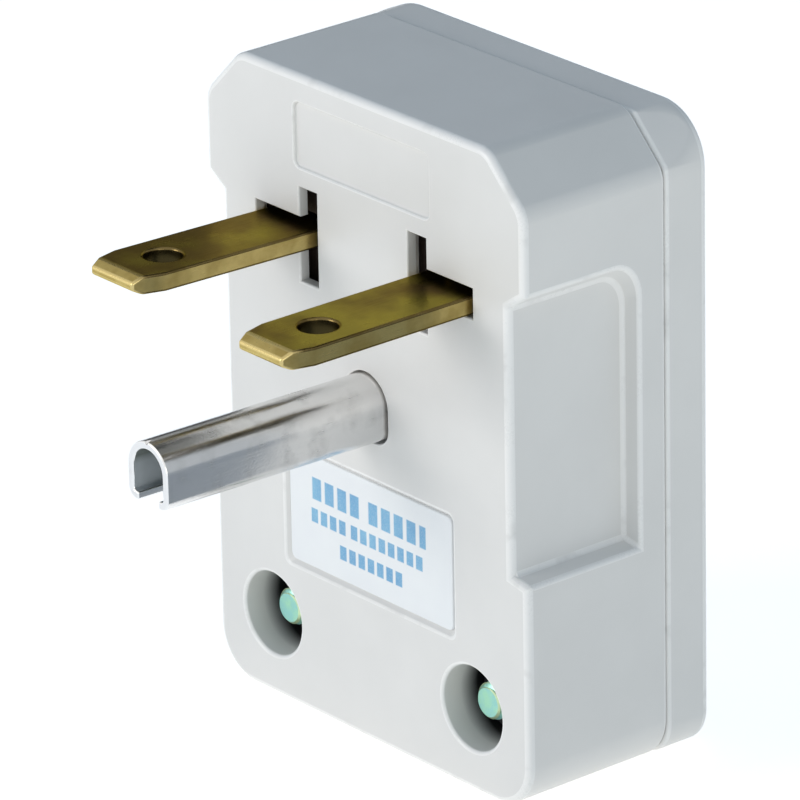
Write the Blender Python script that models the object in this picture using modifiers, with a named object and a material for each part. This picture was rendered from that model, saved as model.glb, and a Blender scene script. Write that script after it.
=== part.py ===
"""Right-angle mains plug for rewiring, with two blades in T-shaped slots and a folded earth pin.

The plug is made of a moulded front housing and a rear cover, a carrier plate that holds the three
terminals, and the fasteners that hold them together. Its frame has X to the right and Z up as seen
from the front, and Y runs from the front face into the body. The origin is on the front face,
midway between the blades.
"""
import math

import bpy
import bmesh
from mathutils import Matrix, Vector

MM = 0.001

# Body outline, as seen from the front
SIDE_MARGIN = 6.205 * MM
TOP_MARGIN = 12.75 * MM
BOTTOM_MARGIN = 6.79 * MM
TOP_CORNER_CUT = 4.1 * MM
TOP_CORNER_RADIUS = 2.0 * MM
BOTTOM_CORNER_RADIUS = 4.0 * MM

# Depths and walls of the two mouldings
HOUSING_DEPTH = 13.7 * MM
COVER_DEPTH = 4.2 * MM
FACE_WALL = 1.6 * MM
SIDE_WALL = 1.9 * MM
COVER_WALL = 2.0 * MM
FRONT_EDGE_RADIUS = 1.0 * MM
REAR_EDGE_RADIUS = 0.8 * MM
PARTING_CHAMFER = 0.3 * MM
COVER_INSET = 0.35 * MM
COVER_TOP_CORNER = 3.9 * MM
COVER_BOTTOM_CORNER = 3.0 * MM
LIP_WALL = 1.0 * MM
LIP_REACH = 1.05 * MM
GAP = 0.3 * MM

# Finger grips, one in each side, open to the front
GRIP_DEPTH = 1.84 * MM
GRIP_BACK_WALL = 2.54 * MM
GRIP_TOP = 2.4 * MM
GRIP_BOTTOM = -20.45 * MM
GRIP_DRAFT = 0.35 * MM
GRIP_EDGE = 0.4 * MM

# Shallow panels in the front face
NAME_SIZE = (15.7 * MM, 5.2 * MM)
NAME_BELOW_TOP = 4.8 * MM
NAME_DEPTH = 0.3 * MM
NAME_CORNER = 0.6 * MM
LABEL_SIZE = (19.4 * MM, 9.5 * MM)
LABEL_ABOVE_SCREWS = 10.11 * MM
LABEL_THICKNESS = 0.2 * MM
LABEL_CORNER = 0.95 * MM
LABEL_MARGIN = 0.35 * MM

# Blades, which lie flat in the outer arms of the slots
BLADE_WIDTH = 6.35 * MM
BLADE_THICKNESS = 1.5 * MM
BLADE_SPACING = 18.24 * MM
BLADE_REACH = 17.2 * MM
BLADE_SAG = 0.15 * MM
BLADE_HOLE = 3.05 * MM
BLADE_HOLE_PLACE = 11.3 * MM
TIP_TAPER = 0.7 * MM
TIP_TAPER_LENGTH = 2.6 * MM
TIP_BEVEL_LENGTH = 0.9 * MM
TIP_THICKNESS = 0.6 * MM
BEND_RADIUS = 0.5 * MM

# T-shaped slots, which also take the blades upright, closer together
UPRIGHT_SPACING = 12.7 * MM
SLOT_PLAY = 0.3 * MM
SLOT_END_PLAY = 0.625 * MM
SLOT_ARM_PLAY = 0.355 * MM

# Earth pin, folded from sheet
PIN_WIDTH = 4.7 * MM
PIN_HEIGHT = 4.98 * MM
PIN_TOP = -9.22 * MM
PIN_REACH = 20.8 * MM
PIN_SHEET = 0.8 * MM
PIN_CURL_RADIUS = 1.1 * MM
PIN_SLIT = 2.3 * MM
PIN_TAIL_WIDTH = 6.2 * MM
STRAP_MARGIN = 0.1 * MM

# Terminals: nut plate, tail, wire clamp and screw, from front to back
TERMINAL_DROP = 7.8 * MM
EARTH_TERMINAL_BELOW_PIN = 4.6 * MM
TAIL_OVERHANG = 3.8 * MM
NUT_PLATE_SIZE = 6.4 * MM
NUT_PLATE_CORNER = 0.5 * MM
NUT_PLATE_THICKNESS = 1.6 * MM
CLAMP_THICKNESS = 1.0 * MM
CLAMP_HEIGHT = 6.4 * MM
CLAMP_LIP = 0.9 * MM
CLAMP_LIP_THICKNESS = 0.6 * MM
TERMINAL_SHANK = 3.5 * MM
TERMINAL_HEAD = 6.5 * MM
TERMINAL_HEAD_HEIGHT = 2.2 * MM

# Screws in general: the tip, and the head's shape as shares of its height and width
SCREW_TIP_CHAMFER = 0.35 * MM
SCREW_HOLE_PLAY = 0.3 * MM
HEAD_ROUNDING = 0.45
CROSS_REACH = 0.30
CROSS_ROOT = 0.10
CROSS_END = 0.06
CROSS_DEPTH = 0.20

# Insulating carrier behind the front face
CARRIER_THICKNESS = 3.0 * MM
CARRIER_SIDE_PLAY = 0.46 * MM
CARRIER_RIM = 1.8 * MM
CARRIER_STEM_WALL = 1.2 * MM
CARRIER_FOOT_WALL = 0.7 * MM
CARRIER_SLOPE = 0.6 * MM
CARRIER_CORNER = 1.0 * MM
BARRIER_WALL = 1.1 * MM
RIB_REACH = 3.3 * MM

# Cover screws, which come from the rear, and their trapped nuts in the front bores
COVER_SCREW_INSET = 6.63 * MM
COVER_SCREW_BELOW_CLAMP = 7.86 * MM
COVER_SHANK = 3.0 * MM
COVER_SCREW_TIP = 1.6 * MM
COVER_HEAD = 5.6 * MM
COVER_HEAD_HEIGHT = 1.9 * MM
COVER_HEAD_SINK = 0.2 * MM
COVER_HEAD_PLAY = 0.5 * MM
NUT_FLATS = 5.5 * MM
NUT_THICKNESS = 2.4 * MM
NUT_PLAY = 0.22 * MM
BORE_DEPTH = 6.3 * MM
BORE_CHAMFER = 0.25 * MM
COLUMN_WALL = 1.8 * MM

# Cord inlet in the bottom, and the saddle that clamps the cord
INLET_DIAMETER = 11.0 * MM
INLET_SETBACK = 4.1 * MM
CORD_CLAMP_BELOW_EARTH = 6.1 * MM
POST_PLACE = 7.7 * MM
POST_WALL = 0.6 * MM
SADDLE_SHEET = 1.0 * MM
SADDLE_WIDTH = 4.6 * MM
SADDLE_EAR = 2.3 * MM
SADDLE_RISE = 2.2 * MM
SADDLE_SPAN = 5.0 * MM
SADDLE_SHOULDER = 2.0 * MM
SADDLE_FOOT_BEND = 0.8 * MM
SADDLE_TOP_BEND = 1.8 * MM
SADDLE_HEADROOM = 0.9 * MM
CLAMP_SCREW_LENGTH = 8.0 * MM

# Hook at the top of the cover
HOOK_WIDTH = 8.0 * MM
HOOK_HEIGHT = 0.9 * MM
HOOK_THICKNESS = 0.9 * MM

ROUND_STEPS = 24
MERGE = 0.001 * MM
FLAT_ANGLE = math.radians(0.5)
BEYOND = 2.0 * MM

# Places across and up the face that follow from the sizes above
BLADE_CENTRE = BLADE_SPACING / 2
BLADE_SIDE = BLADE_CENTRE + BLADE_WIDTH / 2
HALF_WIDTH = BLADE_SIDE + SIDE_MARGIN
SLOT_ARM = BLADE_THICKNESS + 2 * SLOT_PLAY
SLOT_HEIGHT = BLADE_WIDTH + 2 * SLOT_END_PLAY
SLOT_INNER = (UPRIGHT_SPACING - SLOT_ARM) / 2
EARTH_TERMINAL_DROP = PIN_HEIGHT - PIN_TOP + EARTH_TERMINAL_BELOW_PIN
POST_HEIGHT = -EARTH_TERMINAL_DROP - CORD_CLAMP_BELOW_EARTH
COVER_SCREW_PLACE = HALF_WIDTH - COVER_SCREW_INSET
COVER_SCREW_HEIGHT = POST_HEIGHT - COVER_SCREW_BELOW_CLAMP
BODY_BOTTOM = COVER_SCREW_HEIGHT - BOTTOM_MARGIN
SCREW_HOLE = COVER_SHANK + 2 * SCREW_HOLE_PLAY
TERMINAL_HOLE = TERMINAL_SHANK + 2 * SCREW_HOLE_PLAY
NUT_CORNERS = NUT_FLATS / math.cos(math.radians(30))
BORE_DIAMETER = NUT_CORNERS + 2 * NUT_PLAY
COLUMN_DIAMETER = BORE_DIAMETER + 2 * COLUMN_WALL
POST_DIAMETER = SCREW_HOLE + 2 * POST_WALL
CARRIER_TOP = SLOT_HEIGHT / 2 + CARRIER_RIM
CARRIER_SHOULDER = -TERMINAL_DROP - TAIL_OVERHANG - BARRIER_WALL
CLAMP_INNER_SIDE = BLADE_CENTRE - BLADE_WIDTH / 2 - GAP - CLAMP_LIP_THICKNESS
BARRIER_PLACE = (CLAMP_INNER_SIDE + PIN_WIDTH / 2 + STRAP_MARGIN) / 2

# Depths that follow from the sizes above
COVER_FRONT = HOUSING_DEPTH + GAP
COVER_BACK = COVER_FRONT + COVER_DEPTH
COVER_FLOOR = COVER_BACK - COVER_WALL
GRIP_REACH = HOUSING_DEPTH - GRIP_BACK_WALL
CARRIER_FRONT = FACE_WALL + GAP
CARRIER_BACK = CARRIER_FRONT + CARRIER_THICKNESS
TAIL_FRONT = CARRIER_BACK + GAP
RIB_FRONT = COVER_FLOOR - RIB_REACH
BARRIER_BACK = RIB_FRONT - GAP
POST_BACK = COVER_FLOOR - SADDLE_HEADROOM - SADDLE_RISE - SADDLE_SHEET - GAP
HEAD_SEAT = COVER_BACK - COVER_HEAD_SINK - COVER_HEAD_HEIGHT


def clear_scene():
    """Removes every object, so that the model starts from nothing."""
    for old in list(bpy.data.objects):
        bpy.data.objects.remove(old, do_unlink=True)


def new_collection(name):
    group = bpy.data.collections.new(name)
    bpy.context.scene.collection.children.link(group)
    return group


def new_material(name, colour, roughness, metallic=0.0):
    finish = bpy.data.materials.new(name)
    finish.use_nodes = True
    finish.diffuse_color = (*colour, 1.0)
    shader = finish.node_tree.nodes["Principled BSDF"]
    shader.inputs["Base Color"].default_value = (*colour, 1.0)
    shader.inputs["Roughness"].default_value = roughness
    shader.inputs["Metallic"].default_value = metallic
    return finish


clear_scene()
PARTS = new_collection("rewirable_plug")
CUTTERS = new_collection("cutters")
WHITE_PLASTIC = new_material("white_plastic", (0.80, 0.79, 0.77), 0.38)
BROWN_RESIN = new_material("brown_resin", (0.05, 0.035, 0.03), 0.55)
BRASS = new_material("brass", (0.52, 0.40, 0.16), 0.30, 1.0)
NICKEL = new_material("nickel", (0.66, 0.67, 0.68), 0.18, 1.0)
GREEN_ZINC = new_material("green_zinc", (0.42, 0.62, 0.50), 0.32, 1.0)
BRIGHT_ZINC = new_material("bright_zinc", (0.62, 0.63, 0.64), 0.35, 1.0)
PALE_PAPER = new_material("pale_paper", (0.84, 0.88, 0.93), 0.50)


def filleted(corners, steps=4):
    """Rounds a polygon's corners. Each corner is (a, b, radius), and a radius of 0 keeps it sharp."""
    points = []
    count = len(corners)
    for index, (a, b, radius) in enumerate(corners):
        corner = Vector((a, b))
        if radius <= 0.0:
            points.append(corner)
            continue
        before = (Vector(corners[index - 1][:2]) - corner).normalized()
        after = (Vector(corners[(index + 1) % count][:2]) - corner).normalized()
        half = before.angle(after) / 2
        centre = corner + (before + after).normalized() * radius / math.sin(half)
        first = corner + before * radius / math.tan(half) - centre
        last = corner + after * radius / math.tan(half) - centre
        turn = math.atan2(first.x * last.y - first.y * last.x, first.dot(last))
        for step in range(steps + 1):
            points.append(centre + Matrix.Rotation(turn * step / steps, 2) @ first)
    return [spot for index, spot in enumerate(points) if (spot - points[index - 1]).length > MERGE]


def rounded_rectangle(width, height, radius, centre=(0.0, 0.0)):
    across, up = centre
    signs = ((-1, -1), (1, -1), (1, 1), (-1, 1))
    return filleted([(across + sx * width / 2, up + sy * height / 2, radius) for sx, sy in signs])


def place_along(axis, start):
    """Gives the matrix that stands a flat outline, drawn in its own XY plane, along a world axis."""
    across = {"X": (0, 1, 0), "Y": (1, 0, 0), "Z": (1, 0, 0)}[axis]
    up = {"X": (0, 0, 1), "Y": (0, 0, 1), "Z": (0, 1, 0)}[axis]
    along = Vector(across).cross(Vector(up))
    turned = Matrix((across, up, along)).transposed().to_4x4()
    origin = {"X": (start, 0, 0), "Y": (0, start, 0), "Z": (0, 0, start)}[axis]
    return Matrix.Translation(origin) @ turned


def link(name, mesh, finish):
    """Adds a mesh to the parts with its finish, or to the cutters if it has none."""
    piece = bpy.data.objects.new(name, mesh)
    if finish is None:
        piece.hide_render = True
        piece.display_type = "WIRE"
        CUTTERS.objects.link(piece)
    else:
        mesh.materials.clear()
        mesh.materials.append(finish)
        PARTS.objects.link(piece)
    return piece


def merge_flats(work):
    """Welds loose caps and makes each flat stretch one face, which faces outwards."""
    bmesh.ops.remove_doubles(work, verts=work.verts, dist=MERGE)
    bmesh.ops.dissolve_limit(work, angle_limit=FLAT_ANGLE, verts=work.verts, edges=work.edges)
    bmesh.ops.recalc_face_normals(work, faces=work.faces)


def split_flats(work):
    """Splits each many-cornered face into triangles, which the Booleans cut cleanly."""
    many = [face for face in work.faces if len(face.verts) > 4]
    bmesh.ops.triangulate(work, faces=many, ngon_method="BEAUTY")


def tidy_mesh(mesh):
    work = bmesh.new()
    work.from_mesh(mesh)
    merge_flats(work)
    split_flats(work)
    work.to_mesh(mesh)
    work.free()


def prism(name, outline, axis, start, end, finish=None):
    """Extrudes a flat outline along a world axis, from start to end."""
    curve = bpy.data.curves.new(name, "CURVE")
    curve.dimensions = "2D"
    curve.fill_mode = "BOTH"
    curve.extrude = (end - start) / 2
    spline = curve.splines.new("POLY")
    spline.points.add(len(outline) - 1)
    for point, spot in zip(spline.points, outline):
        point.co = (spot[0], spot[1], 0.0, 1.0)
    spline.use_cyclic_u = True
    sketch = bpy.data.objects.new(name + "_sketch", curve)
    CUTTERS.objects.link(sketch)
    solid = bpy.data.meshes.new_from_object(sketch.evaluated_get(bpy.context.evaluated_depsgraph_get()))
    bpy.data.objects.remove(sketch)
    solid.transform(place_along(axis, (start + end) / 2))
    tidy_mesh(solid)
    return link(name, solid, finish)


def box(name, low, high, finish=None):
    size = [far - near for near, far in zip(low, high)]
    middle = [(far + near) / 2 for near, far in zip(low, high)]
    work = bmesh.new()
    bmesh.ops.create_cube(work, size=1.0, matrix=Matrix.Translation(middle) @ Matrix.Diagonal((*size, 1.0)))
    mesh = bpy.data.meshes.new(name)
    work.to_mesh(mesh)
    work.free()
    return link(name, mesh, finish)


def round_bar(name, diameter, place, start, end, axis="Y", finish=None, sides=ROUND_STEPS):
    """Makes a straight round or many-sided bar. Its place is given across the axis, as in place_along."""
    stand = place_along(axis, (start + end) / 2) @ Matrix.Translation((place[0], place[1], 0.0))
    work = bmesh.new()
    bmesh.ops.create_cone(work, cap_ends=True, segments=sides, radius1=diameter / 2, radius2=diameter / 2,
                          depth=abs(end - start), matrix=stand)
    bmesh.ops.recalc_face_normals(work, faces=work.faces)
    mesh = bpy.data.meshes.new(name)
    work.to_mesh(mesh)
    work.free()
    return link(name, mesh, finish)


def turned(name, profile, finish=None):
    """Turns a profile of (radius, height) points, listed from top to bottom, round its own Z axis."""
    mesh = bpy.data.meshes.new(name)
    work = bmesh.new()
    rings = [work.verts.new((radius, 0.0, height)) for radius, height in profile]
    for upper, lower in zip(rings, rings[1:]):
        work.edges.new((upper, lower))
    work.to_mesh(mesh)
    work.free()
    piece = link(name, mesh, finish)
    lathe = piece.modifiers.new("lathe", "SCREW")
    lathe.steps = ROUND_STEPS
    lathe.render_steps = ROUND_STEPS
    lathe.use_merge_vertices = True
    lathe.merge_threshold = MERGE
    lathe.use_normal_calculate = True
    settle(piece)
    return piece


def sheet(name, profile, axis, start, end, thickness, finish=None):
    """Bends a strip of sheet along an open profile. The profile is the strip's outer side."""
    work = bmesh.new()
    near = [work.verts.new((a, b, (start - end) / 2)) for a, b in profile]
    edges = [work.edges.new(pair) for pair in zip(near, near[1:])]
    swept = bmesh.ops.extrude_edge_only(work, edges=edges)["geom"]
    raised = [item for item in swept if isinstance(item, bmesh.types.BMVert)]
    bmesh.ops.translate(work, verts=raised, vec=(0.0, 0.0, end - start))
    bmesh.ops.transform(work, matrix=place_along(axis, (start + end) / 2), verts=work.verts)
    mesh = bpy.data.meshes.new(name)
    work.to_mesh(mesh)
    work.free()
    piece = link(name, mesh, finish)
    wall = piece.modifiers.new("sheet", "SOLIDIFY")
    wall.thickness = thickness
    wall.offset = 1.0
    wall.use_even_offset = True
    settle(piece)
    return piece


def settle(piece):
    """Puts the result of an object's modifiers into its mesh, and tidies it."""
    graph = bpy.context.evaluated_depsgraph_get()
    done = bpy.data.meshes.new_from_object(piece.evaluated_get(graph))
    piece.modifiers.clear()
    tidy_mesh(done)
    piece.data = done


def combine(piece, other, operation):
    modifier = piece.modifiers.new(other.name, "BOOLEAN")
    modifier.operation = operation
    modifier.solver = "EXACT"
    modifier.object = other


def cut(piece, *cutters):
    for cutter in cutters:
        combine(piece, cutter, "DIFFERENCE")


def join(piece, *additions):
    for addition in additions:
        combine(piece, addition, "UNION")


def drill(piece, name, diameter, place, start, end, axis="Y"):
    """Makes a round hole through a piece, cut from a little before start to a little past end."""
    cut(piece, round_bar(name, diameter, place, start - BEYOND, end + BEYOND, axis=axis))


def bevel_edges(piece, width, segments, chosen):
    """Rounds the edges for which chosen(edge) is true."""
    work = bmesh.new()
    work.from_mesh(piece.data)
    merge_flats(work)
    bmesh.ops.bevel(work, geom=[edge for edge in work.edges if chosen(edge)], offset=width,
                    offset_type="OFFSET", segments=segments, profile=0.5, affect="EDGES")
    bmesh.ops.remove_doubles(work, verts=work.verts, dist=MERGE)
    split_flats(work)
    work.to_mesh(piece.data)
    work.free()


def edge_at_depth(depth):
    """Chooses the edges that lie in one plane across Y."""
    return lambda edge: all(abs(corner.co.y - depth) < MERGE for corner in edge.verts)


def smooth(piece, limit=35.0):
    piece.data.shade_smooth()
    piece.data.set_sharp_from_angle(angle=math.radians(limit))


def body_outline():
    """The housing's outline: cut top corners with soft ends, round bottom corners."""
    lower = TOP_MARGIN - TOP_CORNER_CUT
    inner = HALF_WIDTH - TOP_CORNER_CUT
    return filleted([
        (-HALF_WIDTH, BODY_BOTTOM, BOTTOM_CORNER_RADIUS), (HALF_WIDTH, BODY_BOTTOM, BOTTOM_CORNER_RADIUS),
        (HALF_WIDTH, lower, TOP_CORNER_RADIUS), (inner, TOP_MARGIN, TOP_CORNER_RADIUS),
        (-inner, TOP_MARGIN, TOP_CORNER_RADIUS), (-HALF_WIDTH, lower, TOP_CORNER_RADIUS)])


def cover_outline():
    """The cover's outline: a little lower than the housing at the top and bottom, with rounder corners."""
    top = TOP_MARGIN - COVER_INSET
    bottom = BODY_BOTTOM + COVER_INSET
    return filleted([
        (-HALF_WIDTH, bottom, COVER_BOTTOM_CORNER), (HALF_WIDTH, bottom, COVER_BOTTOM_CORNER),
        (HALF_WIDTH, top, COVER_TOP_CORNER), (-HALF_WIDTH, top, COVER_TOP_CORNER)])


def lean_corners(piece):
    """Draws the front of the cover's round top corners in to the housing's cut corners."""
    reach = HALF_WIDTH + TOP_MARGIN - TOP_CORNER_CUT
    work = bmesh.new()
    work.from_mesh(piece.data)
    moved = []
    for corner in work.verts:
        excess = abs(corner.co.x) + corner.co.z - reach
        if corner.co.y < COVER_FRONT + MERGE and excess > 0.0:
            corner.co.x -= math.copysign(excess / 2, corner.co.x)
            corner.co.z -= excess / 2
            moved.append(corner)
    sides = {face for corner in moved for face in corner.link_faces if abs(face.normal.y) < 0.5}
    bmesh.ops.triangulate(work, faces=list(sides))
    work.to_mesh(piece.data)
    work.free()


def cavity_outline(inset=0.0):
    """The hollow inside the side walls, stepped in behind the finger grips."""
    wall = SIDE_WALL + inset
    side = HALF_WIDTH - wall
    waist = side - GRIP_DEPTH
    top = TOP_MARGIN - wall
    bottom = BODY_BOTTOM + wall
    corner = TOP_CORNER_CUT - (2.0 - math.sqrt(2.0)) * wall
    low_step = GRIP_BOTTOM - wall
    high_step = GRIP_TOP + wall
    right = [(side, bottom, BOTTOM_CORNER_RADIUS - wall), (side, low_step - GRIP_DEPTH / 2, 0.0),
             (waist, low_step, 0.0), (waist, high_step - GRIP_DEPTH, 0.0), (side, high_step, 0.0),
             (side, top - corner, 0.0), (side - corner, top, 0.0)]
    left = [(-across, up, radius) for across, up, radius in reversed(right)]
    return filleted(right + left)


def grip_cutter(side):
    """The finger grip's space: nearly flat at the bottom, sloped at the top, and open to the front."""
    floor = HALF_WIDTH - GRIP_DEPTH
    outside = HALF_WIDTH + BEYOND
    drop = GRIP_DRAFT * (GRIP_DEPTH + BEYOND) / GRIP_DEPTH
    corners = [(side * floor, GRIP_BOTTOM), (side * outside, GRIP_BOTTOM - drop),
               (side * outside, GRIP_TOP + BEYOND), (side * floor, GRIP_TOP - GRIP_DEPTH)]
    return prism(f"grip_cutter_{side:+d}", corners[::side], "Y", -BEYOND, GRIP_REACH)


def slot_outline(side):
    """A T on its side: an upright stem on the inner side and a level arm that points outwards."""
    stem = SLOT_INNER + SLOT_ARM
    end = BLADE_SIDE + SLOT_ARM_PLAY
    corners = [(SLOT_INNER, -SLOT_HEIGHT / 2), (stem, -SLOT_HEIGHT / 2), (stem, -SLOT_ARM / 2),
               (end, -SLOT_ARM / 2), (end, SLOT_ARM / 2), (stem, SLOT_ARM / 2),
               (stem, SLOT_HEIGHT / 2), (SLOT_INNER, SLOT_HEIGHT / 2)]
    return [(side * across, up) for across, up in corners[::side]]


def pin_profile(extra=0.0):
    """The earth pin's outer side as an open line: curled foot, leg, arch, leg, curled foot."""
    half = PIN_WIDTH / 2 + extra
    top = PIN_TOP + extra
    bottom = PIN_TOP - PIN_HEIGHT - extra
    foot = PIN_SLIT / 2 - extra
    ends = [(foot, bottom, 0.0), (half, bottom, PIN_CURL_RADIUS + extra), (half, top, half)]
    mirrored = [(-across, up, radius) for across, up, radius in reversed(ends)]
    return filleted(ends + mirrored, steps=6)


def front_housing():
    """The moulded front: face, side walls, finger grips, screw columns and cord clamp posts."""
    shell = prism("front_housing", body_outline(), "Y", 0.0, HOUSING_DEPTH, WHITE_PLASTIC)
    cut(shell, grip_cutter(-1), grip_cutter(1))
    settle(shell)
    floor = HALF_WIDTH - GRIP_DEPTH

    def grip_edge(edge):
        behind = all(FRONT_EDGE_RADIUS - MERGE < corner.co.y < GRIP_REACH + MERGE for corner in edge.verts)
        deep = all(abs(corner.co.x) > floor - MERGE for corner in edge.verts)
        return behind and deep and edge.calc_face_angle() > math.radians(30)

    bevel_edges(shell, FRONT_EDGE_RADIUS, 3, edge_at_depth(0.0))
    bevel_edges(shell, PARTING_CHAMFER, 1, edge_at_depth(HOUSING_DEPTH))
    bevel_edges(shell, GRIP_EDGE, 2, grip_edge)
    cut(shell, prism("housing_cavity", cavity_outline(), "Y", FACE_WALL, HOUSING_DEPTH + BEYOND))

    for side in (-1, 1):
        screw_place = (side * COVER_SCREW_PLACE, COVER_SCREW_HEIGHT)
        post_place = (side * POST_PLACE, POST_HEIGHT)
        join(shell, round_bar(f"screw_column_{side:+d}", COLUMN_DIAMETER, screw_place, FACE_WALL / 2,
                              HOUSING_DEPTH - GAP))
        join(shell, round_bar(f"clamp_post_{side:+d}", POST_DIAMETER, post_place, FACE_WALL / 2, POST_BACK))
        cut(shell, bore_cutter(side))
        post_floor = FACE_WALL + GAP
        cut(shell, round_bar(f"post_hole_{side:+d}", SCREW_HOLE, post_place, post_floor, POST_BACK + BEYOND))
        cut(shell, prism(f"slot_cutter_{side:+d}", slot_outline(side), "Y", -BEYOND, FACE_WALL + BEYOND))

    settle(shell)
    cut(shell, prism("pin_hole", pin_profile(GAP), "Y", -BEYOND, FACE_WALL + BEYOND))
    name_outline = rounded_rectangle(*NAME_SIZE, NAME_CORNER, (0.0, TOP_MARGIN - NAME_BELOW_TOP))
    cut(shell, prism("name_recess", name_outline, "Y", -BEYOND, NAME_DEPTH))
    cut(shell, prism("label_recess", label_outline(LABEL_MARGIN), "Y", -BEYOND, LABEL_THICKNESS + GAP))
    cut(shell, inlet_cutter("housing_inlet"))
    hook_low, hook_high = hook_box(GAP)
    cut(shell, box("hook_pocket", hook_low, hook_high))
    return shell


def bore_cutter(side):
    """One stepped hole: chamfered mouth, nut bore and the screw's own hole through the column."""
    bore = BORE_DIAMETER / 2
    hole = SCREW_HOLE / 2
    mouth = bore + BORE_CHAMFER
    profile = [(0.0, HOUSING_DEPTH + BEYOND), (hole, HOUSING_DEPTH + BEYOND), (hole, BORE_DEPTH),
               (bore, BORE_DEPTH), (bore, BORE_CHAMFER), (mouth, 0.0), (mouth, -BEYOND), (0.0, -BEYOND)]
    cutter = turned(f"bore_cutter_{side:+d}", profile)
    return stand_screw(cutter, side * COVER_SCREW_PLACE, 0.0, COVER_SCREW_HEIGHT)


def stand_screw(piece, across, depth, up):
    """Lays a turned piece along Y, with its top to the rear, and puts its origin in place."""
    piece.rotation_euler = (math.radians(-90), 0.0, 0.0)
    piece.location = (across, depth, up)
    return piece


def inlet_cutter(name):
    """The round way in for the cord, which both mouldings share."""
    return round_bar(name, INLET_DIAMETER, (0.0, HOUSING_DEPTH - INLET_SETBACK), BODY_BOTTOM - BEYOND,
                     BODY_BOTTOM + SIDE_WALL + GAP + LIP_WALL + BEYOND, axis="Z")


def hook_box(extra=0.0):
    """The space of the cover's top hook, in front of the parting line and above the lip."""
    lip_top = TOP_MARGIN - SIDE_WALL - GAP
    back = COVER_FRONT - LIP_REACH + HOOK_THICKNESS
    low = (-HOOK_WIDTH / 2 - extra, COVER_FRONT - LIP_REACH - extra, lip_top - LIP_WALL / 2)
    high = (HOOK_WIDTH / 2 + extra, back + extra, lip_top + HOOK_HEIGHT + extra)
    return low, high


def rear_cover():
    """The shallow rear moulding: locating lip, screw bosses, hook and the ribs that hold the carrier."""
    shell = prism("rear_cover", cover_outline(), "Y", COVER_FRONT, COVER_BACK, WHITE_PLASTIC)
    lean_corners(shell)
    bevel_edges(shell, REAR_EDGE_RADIUS, 3, edge_at_depth(COVER_BACK))
    bevel_edges(shell, PARTING_CHAMFER, 1, edge_at_depth(COVER_FRONT))
    lip_front = COVER_FRONT - LIP_REACH
    join(shell, prism("cover_lip", cavity_outline(GAP), "Y", lip_front, COVER_FRONT + GAP))
    cut(shell, prism("cover_cavity", cavity_outline(GAP + LIP_WALL), "Y", lip_front - BEYOND, COVER_FLOOR))
    hook_low, hook_high = hook_box()
    join(shell, box("cover_hook", hook_low, hook_high))
    for side in (-1, 1):
        place = (side * COVER_SCREW_PLACE, COVER_SCREW_HEIGHT)
        cut(shell, round_bar(f"column_clearance_{side:+d}", COLUMN_DIAMETER + 2 * GAP, place,
                             lip_front - BEYOND, COVER_FRONT + GAP / 2))
        join(shell, round_bar(f"cover_boss_{side:+d}", COLUMN_DIAMETER, place, COVER_FRONT + GAP,
                              COVER_FLOOR + COVER_WALL / 2))
        low = (side * BARRIER_PLACE - BARRIER_WALL / 2, RIB_FRONT, CARRIER_SHOULDER / 2)
        high = (side * BARRIER_PLACE + BARRIER_WALL / 2, COVER_FLOOR + COVER_WALL / 2, CARRIER_TOP / 2)
        join(shell, box(f"carrier_rib_{side:+d}", low, high))
        cut(shell, cover_hole_cutter(side))
    cut(shell, inlet_cutter("cover_inlet"))
    return shell


def cover_hole_cutter(side):
    head = COVER_HEAD / 2 + COVER_HEAD_PLAY
    hole = SCREW_HOLE / 2
    seat = HEAD_SEAT - GAP
    profile = [(0.0, COVER_BACK + BEYOND), (head + BORE_CHAMFER, COVER_BACK + BEYOND),
               (head + BORE_CHAMFER, COVER_BACK), (head, COVER_BACK - BORE_CHAMFER), (head, seat),
               (hole, seat), (hole, COVER_FRONT - BEYOND), (0.0, COVER_FRONT - BEYOND)]
    return stand_screw(turned(f"cover_hole_{side:+d}", profile), side * COVER_SCREW_PLACE, 0.0,
                       COVER_SCREW_HEIGHT)


def cross_cutter(name, head, place, depth):
    """A cross recess for a driver, with tapered arms, cut into a screw head that faces the rear."""
    arm, root, end = head * CROSS_REACH, head * CROSS_ROOT, head * CROSS_END
    quarter = [Vector((root, root)), Vector((end, arm)), Vector((-end, arm))]
    turns = [Matrix.Rotation(math.radians(90 * turn), 2) for turn in range(4)]
    outline = [Vector(place) + turn @ corner for turn in turns for corner in quarter]
    return prism(name, outline, "Y", depth - head * CROSS_DEPTH, depth + BEYOND)


def pan_screw(name, shank, head, head_height, place, seat, tip, finish):
    """A pan-head screw whose head faces the rear, with a cross recess and a chamfered tip."""
    radius = shank / 2
    rim = head / 2
    top = seat + head_height
    soft = head_height * HEAD_ROUNDING
    turns = [math.radians(degrees) for degrees in (90, 60, 30, 0)]
    dome = [(rim - soft * (1 - math.cos(turn)), top - soft * (1 - math.sin(turn))) for turn in turns]
    profile = [(0.0, top)] + dome + [(rim, seat), (radius, seat), (radius, tip + SCREW_TIP_CHAMFER),
                                     (radius - SCREW_TIP_CHAMFER, tip), (0.0, tip)]
    screw = stand_screw(turned(name, profile, finish), place[0], 0.0, place[1])
    smooth(screw)
    cut(screw, cross_cutter(name + "_recess", head, place, top))
    return screw


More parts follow.
